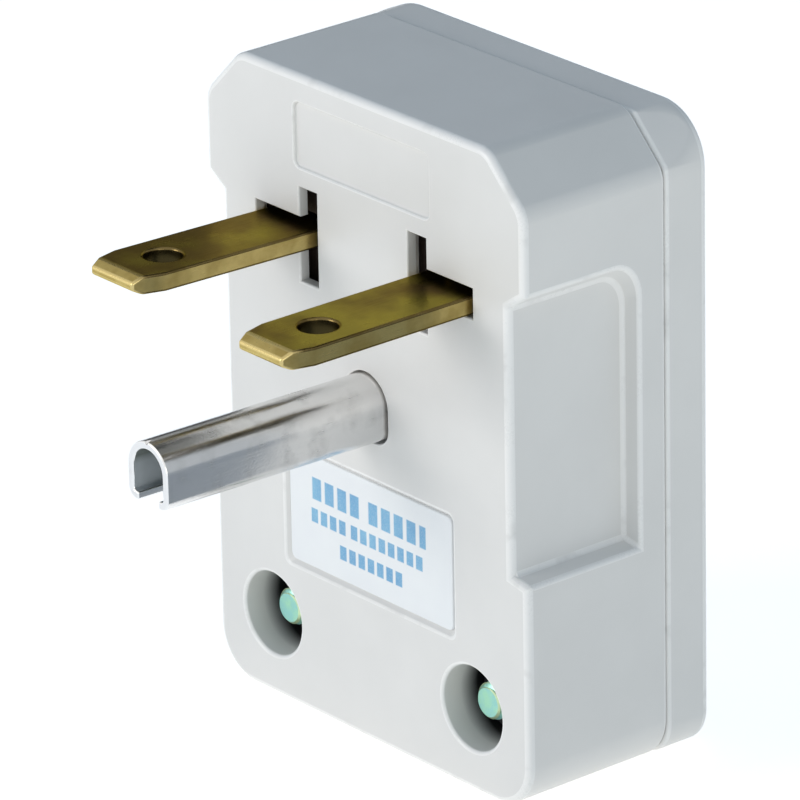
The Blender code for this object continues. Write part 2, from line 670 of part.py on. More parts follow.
def blade(name, side):
    """A brass blade: bevelled and tapered tip, hole, and a tail bent down to the terminal."""
    high = BLADE_THICKNESS / 2 - BLADE_SAG
    low = high - BLADE_THICKNESS
    middle = (high + low) / 2
    tail_back = TAIL_FRONT + BLADE_THICKNESS
    tail_end = -TERMINAL_DROP - TAIL_OVERHANG
    bevel_start = TIP_BEVEL_LENGTH - BLADE_REACH
    outline = filleted([
        (-BLADE_REACH, middle + TIP_THICKNESS / 2, 0.0), (-BLADE_REACH, middle - TIP_THICKNESS / 2, 0.0),
        (bevel_start, low, 0.0), (TAIL_FRONT, low, BEND_RADIUS), (TAIL_FRONT, tail_end, 0.0),
        (tail_back, tail_end, 0.0), (tail_back, high, BEND_RADIUS + BLADE_THICKNESS),
        (bevel_start, high, 0.0)])
    centre = side * BLADE_CENTRE
    piece = prism(name, outline, "X", centre - BLADE_WIDTH / 2, centre + BLADE_WIDTH / 2, BRASS)
    taper_tip(piece, centre)
    drill(piece, name + "_hole", BLADE_HOLE, (centre, -BLADE_HOLE_PLACE), low, high, axis="Z")
    drill(piece, name + "_terminal_hole", TERMINAL_HOLE, (centre, -TERMINAL_DROP), TAIL_FRONT, tail_back)
    return piece


def taper_tip(piece, centre):
    """Narrows the last stretch of a blade evenly towards its end."""
    start = TIP_TAPER_LENGTH - BLADE_REACH
    work = bmesh.new()
    work.from_mesh(piece.data)
    bmesh.ops.bisect_plane(work, geom=work.verts[:] + work.edges[:] + work.faces[:], dist=MERGE,
                           plane_co=(0.0, start, 0.0), plane_no=(0.0, 1.0, 0.0))
    for corner in work.verts:
        share = max(0.0, (start - corner.co.y) / TIP_TAPER_LENGTH)
        corner.co.x -= math.copysign(TIP_TAPER * share, corner.co.x - centre)
    work.to_mesh(piece.data)
    work.free()


def earth_pin():
    """The earth pin: sheet folded to an arch that is open below, with a strap down to its terminal."""
    pin = sheet("earth_pin", pin_profile(), "Y", -PIN_REACH, TAIL_FRONT + PIN_SHEET / 2, PIN_SHEET, NICKEL)
    tail_back = TAIL_FRONT + PIN_SHEET
    tail_end = -EARTH_TERMINAL_DROP - TAIL_OVERHANG
    shoulder = CLAMP_HEIGHT / 2 + GAP - EARTH_TERMINAL_DROP
    neck = PIN_WIDTH / 2 + STRAP_MARGIN
    wide = PIN_TAIL_WIDTH / 2
    right = [(wide, tail_end), (wide, shoulder), (neck, shoulder + PIN_SHEET), (neck, PIN_TOP + PIN_SHEET)]
    left = [(-across, up) for across, up in reversed(right)]
    strap = filleted([(across, up, PIN_SHEET / 2) for across, up in right + left])
    join(pin, prism("earth_strap", strap, "Y", TAIL_FRONT, tail_back))
    drill(pin, "earth_terminal_hole", TERMINAL_HOLE, (0.0, -EARTH_TERMINAL_DROP), TAIL_FRONT, tail_back)
    return pin


def terminal(name, place, tail_width, tail_thickness):
    """The pieces behind one contact: tapped nut plate, lipped wire clamp and binding screw."""
    across, up = place
    plate_front = CARRIER_BACK - NUT_PLATE_THICKNESS
    square = rounded_rectangle(NUT_PLATE_SIZE, NUT_PLATE_SIZE, NUT_PLATE_CORNER, place)
    plate = prism(f"nut_plate_{name}", square, "Y", plate_front, CARRIER_BACK, BRASS)
    drill(plate, f"nut_plate_hole_{name}", TERMINAL_HOLE, place, plate_front, CARRIER_BACK)

    inner = tail_width / 2 + GAP
    outer = inner + CLAMP_LIP_THICKNESS
    front = TAIL_FRONT + tail_thickness + GAP
    back = front + CLAMP_THICKNESS
    lip = front - CLAMP_LIP
    section = [(-outer, lip), (-inner, lip), (-inner, front), (inner, front), (inner, lip), (outer, lip),
               (outer, back), (-outer, back)]
    clamp = prism(f"wire_clamp_{name}", [(across + a, b) for a, b in section], "Z", up - CLAMP_HEIGHT / 2,
                  up + CLAMP_HEIGHT / 2, BRIGHT_ZINC)
    drill(clamp, f"wire_clamp_hole_{name}", TERMINAL_HOLE, place, front, back)
    pan_screw(f"terminal_screw_{name}", TERMINAL_SHANK, TERMINAL_HEAD, TERMINAL_HEAD_HEIGHT, place,
              back + GAP, plate_front, NICKEL)


def terminal_carrier():
    """The insulating plate behind the face, with windows, nut pockets and two barriers."""
    pocket = NUT_PLATE_SIZE + 2 * GAP
    pocket_floor = CARRIER_BACK - NUT_PLATE_THICKNESS - GAP
    wide = HALF_WIDTH - SIDE_WALL - GRIP_DEPTH - CARRIER_SIDE_PLAY
    stem = pocket / 2 + CARRIER_STEM_WALL
    foot = -EARTH_TERMINAL_DROP - pocket / 2 - CARRIER_FOOT_WALL
    right = [(stem, foot), (stem, CARRIER_SHOULDER), (wide, CARRIER_SHOULDER + CARRIER_SLOPE),
             (wide, CARRIER_TOP)]
    left = [(-across, up) for across, up in reversed(right)]
    outline = filleted([(across, up, CARRIER_CORNER) for across, up in right + left])
    plate = prism("terminal_carrier", outline, "Y", CARRIER_FRONT, CARRIER_BACK, BROWN_RESIN)
    for side in (-1, 1):
        low = (side * BARRIER_PLACE - BARRIER_WALL / 2, CARRIER_FRONT + GAP, CARRIER_SHOULDER + BARRIER_WALL)
        high = (side * BARRIER_PLACE + BARRIER_WALL / 2, BARRIER_BACK, CARRIER_TOP - BARRIER_WALL)
        join(plate, box(f"barrier_{side:+d}", low, high))
        cut(plate, prism(f"carrier_slot_{side:+d}", slot_outline(side), "Y", 0.0, CARRIER_BACK + BEYOND))
    cut(plate, prism("carrier_pin_window", pin_profile(GAP), "Y", 0.0, CARRIER_BACK + GAP / 2))
    for name, place in terminal_places():
        square = rounded_rectangle(pocket, pocket, NUT_PLATE_CORNER, place)
        cut(plate, prism(f"nut_pocket_{name}", square, "Y", pocket_floor, CARRIER_BACK + BEYOND / 2))
    return plate


def terminal_places():
    return [("left", (-BLADE_CENTRE, -TERMINAL_DROP)), ("right", (BLADE_CENTRE, -TERMINAL_DROP)),
            ("earth", (0.0, -EARTH_TERMINAL_DROP))]


def cover_fasteners(name, side):
    """A cover screw from the rear, and the hexagon nut trapped in the front bore."""
    place = (side * COVER_SCREW_PLACE, COVER_SCREW_HEIGHT)
    pan_screw(f"cover_screw_{name}", COVER_SHANK, COVER_HEAD, COVER_HEAD_HEIGHT, place, HEAD_SEAT,
              COVER_SCREW_TIP, GREEN_ZINC)
    back = BORE_DEPTH - GAP
    front = back - NUT_THICKNESS
    nut = round_bar(f"cover_nut_{name}", NUT_CORNERS, place, front, back, finish=BRIGHT_ZINC, sides=6)
    drill(nut, f"nut_thread_{name}", SCREW_HOLE, place, front, back)


def cord_clamp():
    """The bent steel saddle across the cord's way in, and its two screws."""
    front = POST_BACK + GAP
    end = POST_PLACE + SADDLE_EAR
    right = [(end, front + SADDLE_SHEET, 0.0), (SADDLE_SPAN, front + SADDLE_SHEET, SADDLE_FOOT_BEND),
             (SADDLE_SPAN - SADDLE_SHOULDER, front + SADDLE_SHEET + SADDLE_RISE, SADDLE_TOP_BEND)]
    left = [(-across, depth, radius) for across, depth, radius in reversed(right)]
    saddle = sheet("cord_saddle", filleted(right + left), "Z", POST_HEIGHT - SADDLE_WIDTH / 2,
                   POST_HEIGHT + SADDLE_WIDTH / 2, SADDLE_SHEET, BRIGHT_ZINC)
    for name, side in (("left", -1), ("right", 1)):
        place = (side * POST_PLACE, POST_HEIGHT)
        drill(saddle, f"saddle_hole_{name}", SCREW_HOLE, place, front, front + SADDLE_SHEET)
        seat = front + SADDLE_SHEET + GAP
        pan_screw(f"saddle_screw_{name}", COVER_SHANK, COVER_HEAD, COVER_HEAD_HEIGHT, place, seat,
                  seat - CLAMP_SCREW_LENGTH, BRIGHT_ZINC)


def label_outline(margin=0.0):
    width, height = (size + 2 * margin for size in LABEL_SIZE)
    centre = (0.0, COVER_SCREW_HEIGHT + LABEL_ABOVE_SCREWS)
    return rounded_rectangle(width, height, LABEL_CORNER + margin, centre)


def rating_label():
    return prism("rating_label", label_outline(), "Y", 0.0, LABEL_THICKNESS, PALE_PAPER)


def build():
    front_housing()
    rear_cover()
    terminal_carrier()
    blade("blade_left", -1)
    blade("blade_right", 1)
    earth_pin()
    for name, place in terminal_places():
        if name == "earth":
            terminal(name, place, PIN_TAIL_WIDTH, PIN_SHEET)
        else:
            terminal(name, place, BLADE_WIDTH, BLADE_THICKNESS)
    cover_fasteners("left", -1)
    cover_fasteners("right", 1)
    cord_clamp()
    rating_label()


build()
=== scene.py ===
"""The looks of a right-angle mains plug: pieces over its CAD frame, their finishes and a studio.

Sizes are in millimetres, in the CAD model's frame: X to the right, Y from the front face into the
body and Z up, with the origin on the front face midway between the blades. In the studio only the
camera's sizes and the floor's height are, and the rest is in metres.
"""

import logging
import math
from collections.abc import Callable, Iterator
from contextlib import contextmanager
from dataclasses import dataclass, field
from enum import Enum, IntEnum

import bmesh
import bpy
from mathutils import Euler, Matrix, Vector

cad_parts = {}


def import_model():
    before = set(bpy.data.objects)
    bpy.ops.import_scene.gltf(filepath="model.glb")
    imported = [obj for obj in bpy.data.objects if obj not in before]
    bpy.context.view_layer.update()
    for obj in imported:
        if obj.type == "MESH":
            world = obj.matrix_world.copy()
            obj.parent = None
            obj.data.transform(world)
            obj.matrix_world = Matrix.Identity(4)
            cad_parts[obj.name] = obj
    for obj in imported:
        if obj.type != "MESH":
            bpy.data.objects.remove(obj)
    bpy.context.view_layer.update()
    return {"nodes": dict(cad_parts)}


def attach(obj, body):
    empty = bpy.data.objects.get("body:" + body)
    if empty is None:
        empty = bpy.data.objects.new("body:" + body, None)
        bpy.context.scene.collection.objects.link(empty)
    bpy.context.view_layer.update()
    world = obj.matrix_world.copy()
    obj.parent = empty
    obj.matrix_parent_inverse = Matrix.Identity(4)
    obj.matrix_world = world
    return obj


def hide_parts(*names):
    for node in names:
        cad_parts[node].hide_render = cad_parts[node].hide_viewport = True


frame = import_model()

LOG = logging.getLogger("plug")

MM = 0.001  # a millimetre, in metres
WELD = 0.001 * MM  # how near vertices are that count as doubled, in metres
TOUCH = 0.02  # how near a place is that counts as lying on a face
NEAR = 0.1  # the same at a round wall
BEYOND = 2.0  # how far a cutter stands out of what it cuts
LAP = 1.0  # how far a boss or a bore runs on into what it meets
LONG = 1.0  # the least depth that an edge into the body spans
ROUND_SIDES = 96  # the sides of a large round hole
CLOUD_RANGE = (0.3, 0.7)  # the stretch of a noise's values that is spread from 0 to 1
GRAIN_RANGE = (0.25, 0.75)

Piece = bpy.types.Object
Element = bmesh.types.BMVert | bmesh.types.BMEdge | bmesh.types.BMFace
Node = bpy.types.Node
Socket = bpy.types.NodeSocket
Pair = tuple[float, float]
Point = tuple[float, float, float]
Colour = tuple[float, float, float]
SpotTest = Callable[[Vector], bool]
EdgeTest = Callable[[Vector, Vector], bool]
FaceTest = Callable[[Vector, Vector], bool]


class Axis(Enum):
    """The world axis along which a rod runs, with the turn that lays it there."""

    Y = (-math.pi / 2, 0.0, 0.0)
    Z = (0.0, 0.0, 0.0)


class Side(Enum):
    """The two mirrored halves of the plug, as seen from the front."""

    LEFT = -1
    RIGHT = 1


class Merge(Enum):
    """What a tool piece does to the piece that it meets."""

    AWAY = "DIFFERENCE"
    ON = "UNION"
    SHARED = "INTERSECT"


class Mark(IntEnum):
    """What a face is, told by its material slot until the piece is finished."""

    PLAIN = 0
    EDGE = 1
    DULL = 2
    # Faces darkened as painted shade: deep bore walls, blade holes and the trapped nuts.
    GRIMY = 3


class Kind(Enum):
    """What is selected in edit mode: Blender's names of the mode and of the elements."""

    SPOTS = ("VERT", "verts")
    EDGES = ("EDGE", "edges")
    FACES = ("FACE", "faces")


# Workbench: modelling steps on one piece at a time


def metres(point: Point) -> Point:
    """Turns a place or a move from millimetres into metres."""
    return tuple(value * MM for value in point)


def before(depth: float) -> EdgeTest:
    """Gives the test for edges that lie at a depth or in front of it."""
    return lambda one, two: max(one.y, two.y) < depth + TOUCH


def behind(depth: float) -> EdgeTest:
    """Gives the test for edges that lie at a depth or behind it."""
    return lambda one, two: min(one.y, two.y) > depth - TOUCH


def upper_corner(height: float) -> EdgeTest:
    """Gives the test for edges that run into the body at a height or above it."""
    return lambda one, two: min(one.z, two.z) > height - TOUCH and abs(one.y - two.y) > LONG


def lower_corner(height: float) -> EdgeTest:
    """Gives the test for edges that run into the body at a height or below it."""
    return lambda one, two: max(one.z, two.z) < height + TOUCH and abs(one.y - two.y) > LONG


def deselect_all() -> None:
    """Goes back to object mode with nothing selected."""
    if bpy.context.mode != "OBJECT":
        bpy.ops.object.mode_set(mode="OBJECT")
    bpy.ops.object.select_all(action="DESELECT")


def take(piece: Piece) -> None:
    """Makes one piece the only selected and active one.

    Args:
        piece: The piece to work on.
    """
    deselect_all()
    piece.select_set(True)
    bpy.context.view_layer.objects.active = piece


@contextmanager
def editing(piece: Piece) -> Iterator[None]:
    """Holds one piece in edit mode with nothing selected.

    Args:
        piece: The piece to edit.

    Yields:
        Nothing. The piece is back in object mode afterwards.
    """
    take(piece)
    bpy.ops.object.mode_set(mode="EDIT")
    bpy.ops.mesh.select_all(action="DESELECT")
    yield
    bpy.ops.object.mode_set(mode="OBJECT")


def claim(name: str) -> Piece:
    """Names the primitive just added and puts its place and size into its mesh.

    Args:
        name: The name of the new piece.

    Returns:
        The piece, with a slot for every mark that a face can have.
    """
    piece = bpy.context.active_object
    piece.name = name
    bpy.ops.object.transform_apply(location=True, rotation=True, scale=True)
    for mark in Mark:
        label = "mark_" + mark.name.lower()
        slot = bpy.data.materials.get(label) or bpy.data.materials.new(label)
        piece.data.materials.append(slot)
    return piece


def block(name: str, low: Point, high: Point) -> Piece:
    """Adds a block between two corners.

    Args:
        name: The name of the new piece.
        low: Its lowest corner.
        high: Its highest corner.

    Returns:
        The block.
    """
    deselect_all()
    middle = [(near + far) / 2 * MM for near, far in zip(low, high)]
    size = [(far - near) * MM for near, far in zip(low, high)]
    bpy.ops.mesh.primitive_cube_add(size=1.0, location=middle, scale=size)
    return claim(name)


def rod(name: str, radius: float, centre: Pair, start: float, end: float,
        axis: Axis = Axis.Y, sides: int = 64) -> Piece:
    """Adds a round or many-sided rod along a world axis.

    Args:
        name: The name of the new piece.
        radius: Its radius, to the corners if it has few sides.
        centre: Its place on the two other axes, in alphabetical order.
        start: Where it begins on its own axis.
        end: Where it ends.
        axis: The axis that it runs along.
        sides: How many sides it has.

    Returns:
        The rod.
    """
    middle = (start + end) / 2
    first, second = centre
    place = (first, middle, second) if axis is Axis.Y else (first, second, middle)
    deselect_all()
    bpy.ops.mesh.primitive_cylinder_add(vertices=sides, radius=radius * MM,
                                        depth=abs(end - start) * MM, location=metres(place),
                                        rotation=axis.value)
    return claim(name)


def choose(piece: Piece, kind: Kind, wanted: Callable[[Element], bool]) -> int:
    """Selects, in edit mode, the vertices, edges or faces that pass a test.

    Args:
        piece: The piece in edit mode.
        kind: Which of them are tested.
        wanted: Says of one of them whether it is wanted.

    Returns:
        How many are selected.
    """
    mode, elements = kind.value
    bpy.ops.mesh.select_mode(type=mode)
    bpy.ops.mesh.select_all(action="DESELECT")
    work = bmesh.from_edit_mesh(piece.data)
    chosen = [element for element in getattr(work, elements) if wanted(element)]
    for element in chosen:
        element.select_set(True)
    work.select_flush_mode()
    bmesh.update_edit_mesh(piece.data)
    return len(chosen)


def choose_spots(piece: Piece, test: SpotTest) -> None:
    """Selects, in edit mode, the vertices whose place in millimetres passes a test."""
    choose(piece, Kind.SPOTS, lambda spot: test(spot.co / MM))


def choose_faces(piece: Piece, test: FaceTest) -> None:
    """Selects, in edit mode, the faces whose middle in millimetres and normal pass a test."""
    choose(piece, Kind.FACES, lambda face: test(face.calc_center_median() / MM, face.normal))


def choose_edges(piece: Piece, test: EdgeTest, sharp: float) -> int:
    """Selects, in edit mode, the edges that pass a test and are sharp enough.

    Args:
        piece: The piece in edit mode.
        test: Says of an edge's two ends in millimetres whether it is wanted.
        sharp: The least angle between its two faces, in degrees.

    Returns:
        How many are selected.
    """
    least = math.radians(sharp)

    def wanted(edge: bmesh.types.BMEdge) -> bool:
        """Says whether an edge between two faces is sharp enough and passes the test."""
        return (len(edge.link_faces) == 2 and edge.calc_face_angle(0.0) >= least
                and test(edge.verts[0].co / MM, edge.verts[1].co / MM))

    return choose(piece, Kind.EDGES, wanted)


def round_edges(piece: Piece, radius: float, segments: int, test: EdgeTest,
                sharp: float = 25.0, marked: bool = True) -> None:
    """Rounds chosen edges, or cuts them flat with one segment.

    Args:
        piece: The piece to work on.
        radius: How far the rounding reaches from the edge on each face.
        segments: How many facets it has.
        test: Says of an edge's two ends whether it is wanted.
        sharp: The least angle of a wanted edge, in degrees.
        marked: Whether the new faces count as worn edges.
    """
    with editing(piece):
        if choose_edges(piece, test, sharp):
            bpy.ops.mesh.bevel(offset_type="OFFSET", offset=radius * MM, segments=segments,
                               profile=0.5, affect="EDGES", clamp_overlap=False,
                               material=Mark.EDGE.value if marked else -1)
            bpy.ops.mesh.select_all(action="SELECT")
            bpy.ops.mesh.remove_doubles(threshold=WELD)


def shift(piece: Piece, test: SpotTest, move: Point) -> None:
    """Moves chosen vertices.

    Args:
        piece: The piece to work on.
        test: Says of a place whether its vertex moves.
        move: How far they move.
    """
    with editing(piece):
        choose_spots(piece, test)
        bpy.ops.transform.translate(value=metres(move))


def stretch(piece: Piece, test: SpotTest, factors: Point, centre: Point) -> None:
    """Scales chosen vertices about a centre.

    Args:
        piece: The piece to work on.
        test: Says of a place whether its vertex moves.
        factors: The scale on each axis.
        centre: The point that stays.
    """
    with editing(piece):
        choose_spots(piece, test)
        bpy.ops.transform.resize(value=factors, center_override=metres(centre))


def turn(piece: Piece, test: SpotTest, angle: float, centre: Point) -> None:
    """Turns chosen vertices about an axis across the plug.

    Args:
        piece: The piece to work on.
        test: Says of a place whether its vertex moves.
        angle: How far they turn, in degrees.
        centre: A point of the axis.
    """
    with editing(piece):
        choose_spots(piece, test)
        bpy.ops.transform.rotate(value=math.radians(angle), orient_axis="X",
                                 center_override=metres(centre))


def slice_at(piece: Piece, place: Point, normal: Point, drop_far: bool = False,
             drop_near: bool = False, fill: bool = False) -> None:
    """Cuts a piece along a plane, and may drop one half.

    Args:
        piece: The piece to work on.
        place: A point of the plane.
        normal: The plane's normal, which points to the far half.
        drop_far: Whether the far half goes.
        drop_near: Whether the near half goes.
        fill: Whether the cut is closed.
    """
    with editing(piece):
        bpy.ops.mesh.select_all(action="SELECT")
        bpy.ops.mesh.bisect(plane_co=metres(place), plane_no=normal, use_fill=fill,
                            clear_outer=drop_far, clear_inner=drop_near, threshold=WELD / 2)


def pull_out(piece: Piece, test: FaceTest, move: Point) -> None:
    """Extrudes chosen faces by a move.

    Args:
        piece: The piece to work on.
        test: Says of a face's middle and normal whether it is wanted.
        move: How far the faces go.
    """
    with editing(piece):
        choose_faces(piece, test)
        bpy.ops.mesh.extrude_region_move(TRANSFORM_OT_translate={"value": metres(move)})


def drop_faces(piece: Piece, test: FaceTest) -> None:
    """Deletes chosen faces.

    Args:
        piece: The piece to work on.
        test: Says of a face's middle and normal whether it goes.
    """
    with editing(piece):
        choose_faces(piece, test)
        bpy.ops.mesh.delete(type="FACE")


def mark_faces(piece: Piece, mark: Mark, test: FaceTest) -> None:
    """Marks chosen faces: the finishes show dull faces as stained metal and shade marks as painted
    shade.

    Args:
        piece: The piece to work on.
        mark: What the faces are.
        test: Says of a face's middle and normal whether it is meant.
    """
    with editing(piece):
        choose_faces(piece, test)
        piece.active_material_index = mark.value
        bpy.ops.object.material_slot_assign()


def clean_flats(piece: Piece, flat: float = 0.4) -> None:
    """Welds doubled vertices and makes each flat stretch one face.

    Args:
        piece: The piece to work on.
        flat: The greatest angle, in degrees, between faces that become one.
    """
    with editing(piece):
        bpy.ops.mesh.select_all(action="SELECT")
        bpy.ops.mesh.remove_doubles(threshold=WELD)
        bpy.ops.mesh.dissolve_limited(angle_limit=math.radians(flat), delimit={"MATERIAL"})


def turn_outwards(piece: Piece) -> None:
    """Welds doubled vertices and makes all faces point outwards.

    Args:
        piece: The piece to work on.
    """
    with editing(piece):
        bpy.ops.mesh.select_all(action="SELECT")
        bpy.ops.mesh.remove_doubles(threshold=WELD)
        bpy.ops.mesh.normals_make_consistent(inside=False)


def apply_all(piece: Piece) -> None:
    """Applies every modifier of a piece, in their order.

    Args:
        piece: The piece to work on.
    """
    take(piece)
    for change in list(piece.modifiers):
        bpy.ops.object.modifier_apply(modifier=change.name)


def combine(piece: Piece, merge: Merge, *tools: Piece) -> None:
    """Cuts tool pieces away from a piece, joins them on, or keeps what they share.

    Args:
        piece: The piece to work on.
        merge: What the tools do.
        tools: The tool pieces, which are used up.
    """
    for tool in tools:
        change = piece.modifiers.new("merge", "BOOLEAN")
        change.operation = merge.value
        change.solver = "EXACT"
        change.object = tool
        apply_all(piece)
        bpy.data.objects.remove(tool, do_unlink=True)


def copy_of(piece: Piece, name: str) -> Piece:
    """Copies a piece with a mesh of its own.

    Args:
        piece: The piece to copy.
        name: The copy's name.

    Returns:
        The copy.
    """
    take(piece)
    bpy.ops.object.duplicate(linked=False)
    twin = bpy.context.active_object
    twin.name = name
    return twin


def move_all(piece: Piece, move: Point) -> None:
    """Moves a whole piece, and puts the move into its mesh.

    Args:
        piece: The piece to move.
        move: How far it moves.
    """
    take(piece)
    bpy.ops.transform.translate(value=metres(move))
    bpy.ops.object.transform_apply(location=True, rotation=False, scale=False)


def mirror_across(piece: Piece) -> None:
    """Mirrors a whole piece to the other side of the plug, and turns its faces outwards again.

    Args:
        piece: The piece to mirror.
    """
    take(piece)
    piece.scale = (-1.0, 1.0, 1.0)
    bpy.ops.object.transform_apply(location=True, rotation=True, scale=True)
    turn_outwards(piece)


def finish_piece(piece: Piece, smooth: float = 35.0) -> None:
    """Keeps the marks as attributes, and shades the piece softly with its flats kept flat.

    Args:
        piece: The piece to finish.
        smooth: The greatest angle, in degrees, that is shaded as one surface.
    """
    marks = [0] * len(piece.data.polygons)
    piece.data.polygons.foreach_get("material_index", marks)
    for name, wanted in (("edge", (Mark.EDGE,)), ("dull", (Mark.DULL, Mark.GRIMY)),
                         ("grime", (Mark.GRIMY,))):
        kept = piece.data.attributes.new(name, "FLOAT", "FACE")
        kept.data.foreach_set("value", [1.0 if mark in wanted else 0.0 for mark in marks])
    piece.data.polygons.foreach_set("material_index", [0] * len(marks))
    piece.data.materials.clear()
    take(piece)
    bpy.ops.object.shade_smooth_by_angle(angle=math.radians(smooth))
    weighted = piece.modifiers.new("weighted", "WEIGHTED_NORMAL")
    weighted.mode = "FACE_AREA"
    weighted.weight = 80
    weighted.keep_sharp = True
    apply_all(piece)


# Wiring of shader nodes


class Wiring:
    """Adds and joins the nodes of one node tree."""

    def __init__(self, tree: bpy.types.NodeTree) -> None:
        """Keeps the node tree that is filled."""
        self.tree = tree

    def add(self, kind: str, settings: dict[str, object] | None = None,
            **inputs: object) -> Node:
        """Adds one node.

        Args:
            kind: Its type without the leading "ShaderNode".
            settings: Its properties by name.
            inputs: Values or output sockets by input name, with _ for a space.

        Returns:
            The node.
        """
        node = self.tree.nodes.new("ShaderNode" + kind)
        for name, value in (settings or {}).items():
            setattr(node, name, value)
        for name, value in inputs.items():
            self.feed(node.inputs[name.replace("_", " ")], value)
        return node

    def feed(self, socket: Socket, value: object) -> None:
        """Joins an output to a socket, or sets the socket's own value.

        Args:
            socket: The input socket.
            value: An output socket or a plain value.
        """
        if isinstance(value, Socket):
            self.tree.links.new(value, socket)
        else:
            socket.default_value = value

    def number(self, operation: str, *values: object, clamp: bool = False) -> Socket:
        """Adds a Math node.

        Args:
            operation: The Math node's operation.
            values: Its inputs in order.
            clamp: Whether the result is kept from 0 to 1.

        Returns:
            Its output.
        """
        node = self.add("Math", {"operation": operation, "use_clamp": clamp})
        for socket, value in zip(node.inputs, values):
            self.feed(socket, value)
        return node.outputs[0]

    def spread(self, value: object, low: float, high: float, to_low: float = 0.0,
               to_high: float = 1.0) -> Socket:
        """Maps a range of numbers to another, with both ends held.

        Args:
            value: The number or socket to map.
            low: The start of its range.
            high: The end of its range.
            to_low: What the start becomes.
            to_high: What the end becomes.

        Returns:
            The mapped number.
        """
        node = self.add("MapRange", {"clamp": True}, Value=value, From_Min=low, From_Max=high,
                        To_Min=to_low, To_Max=to_high)
        return node.outputs["Result"]

    def tint(self, factor: object, first: object, second: object) -> Socket:
        """Mixes two colours.

        Args:
            factor: The share of the second colour.
            first: The first colour.
            second: The second colour.

        Returns:
            The mixed colour.
        """
        node = self.add("Mix", {"data_type": "RGBA"})
        for index, value in ((0, factor), (6, first), (7, second)):
            self.feed(node.inputs[index], (*value, 1.0) if isinstance(value, tuple) else value)
        return node.outputs[2]

    def noise(self, where: object, size: object, detail: float = 2.0,
              roughness: float = 0.5) -> Socket:
        """Adds noise whose cells have a real size.

        Args:
            where: The coordinates in metres.
            size: The size of a cell in millimetres.
            detail: How many finer layers it has.
            roughness: How strong the finer layers are.

        Returns:
            The noise, about from 0.25 to 0.75.
        """
        scale = self.number("DIVIDE", 1.0 / MM, size)
        return self.add("TexNoise", None, Vector=where, Scale=scale, Detail=detail,
                        Roughness=roughness).outputs[0]

    def part(self, vector: Socket, axis: str) -> Socket:
        """Gives one part of a vector, by the name of its axis."""
        return self.add("SeparateXYZ", None, Vector=vector).outputs[axis]

    def attribute(self, name: str) -> Socket:
        """Gives one of the marks that finish_piece keeps."""
        return self.add("Attribute", {"attribute_name": name}).outputs["Fac"]

    def group(self, tree: bpy.types.NodeTree, **inputs: object) -> Node:
        """Places a node group.

        Args:
            tree: The group.
            inputs: Values or sockets by input name, with _ for a space.

        Returns:
            The group node.
        """
        node = self.tree.nodes.new("ShaderNodeGroup")
        node.node_tree = tree
        for name, value in inputs.items():
            self.feed(node.inputs[name.replace("_", " ")], value)
        return node


def new_material(name: str) -> tuple[bpy.types.Material, Wiring, Node]:
    """Makes a material with nodes.

    Args:
        name: Its name.

    Returns:
        The material, its wiring and its Principled BSDF.
    """
    made = bpy.data.materials.new(name)
    made.use_nodes = True
    return made, Wiring(made.node_tree), made.node_tree.nodes["Principled BSDF"]


class SurfaceEffect:
    """A look that several finishes share, kept as one node group."""

    name = "effect"
    inputs: tuple[tuple[str, str, float], ...] = ()
    outputs: tuple[str, ...] = ()

    @classmethod
    def tree(cls) -> bpy.types.NodeTree:
        """Gives the effect's node group, built at the first call."""
        made = bpy.data.node_groups.get(cls.name)
        if made:
            return made
        made = bpy.data.node_groups.new(cls.name, "ShaderNodeTree")
        made.interface.new_socket("Where", in_out="INPUT", socket_type="NodeSocketVector")
        for name, kind, value in cls.inputs:
            socket = made.interface.new_socket(name, in_out="INPUT", socket_type=kind)
            socket.default_value = value
        for name in cls.outputs:
            made.interface.new_socket(name, in_out="OUTPUT", socket_type="NodeSocketFloat")
        source = made.nodes.new("NodeGroupInput")
        target = made.nodes.new("NodeGroupOutput")
        cls.wire(Wiring(made), source, target)
        return made

    @classmethod
    def place(cls, wiring: Wiring, **inputs: object) -> tuple[Socket, ...]:
        """Places the effect in a node tree, and gives its outputs in order."""
        return tuple(wiring.group(cls.tree(), **inputs).outputs)

    @classmethod
    def wire(cls, wiring: Wiring, source: Node, target: Node) -> None:
        """Fills the node group.

        Args:
            wiring: The group's wiring.
            source: Its input node.
            target: Its output node.
        """
        raise NotImplementedError


class MouldedSkin(SurfaceEffect):
    """The cloudy tone and the fine spark-eroded grain of a moulded surface."""

    name = "moulded_skin"
    inputs = (("Cloud Size", "NodeSocketFloat", 6.0), ("Grain Size", "NodeSocketFloat", 0.2))
    outputs = ("Cloud", "Grain")

    @classmethod
    def wire(cls, wiring: Wiring, source: Node, target: Node) -> None:
        """Fills the node group.

        Args:
            wiring: The group's wiring.
            source: Its input node.
            target: Its output node.
        """
        where = source.outputs["Where"]
        cloud = wiring.noise(where, source.outputs["Cloud Size"], detail=4.0, roughness=0.55)
        grain = wiring.noise(where, source.outputs["Grain Size"], roughness=0.6)
        wiring.feed(target.inputs["Cloud"], wiring.spread(cloud, *CLOUD_RANGE))
        wiring.feed(target.inputs["Grain"], wiring.spread(grain, *GRAIN_RANGE))


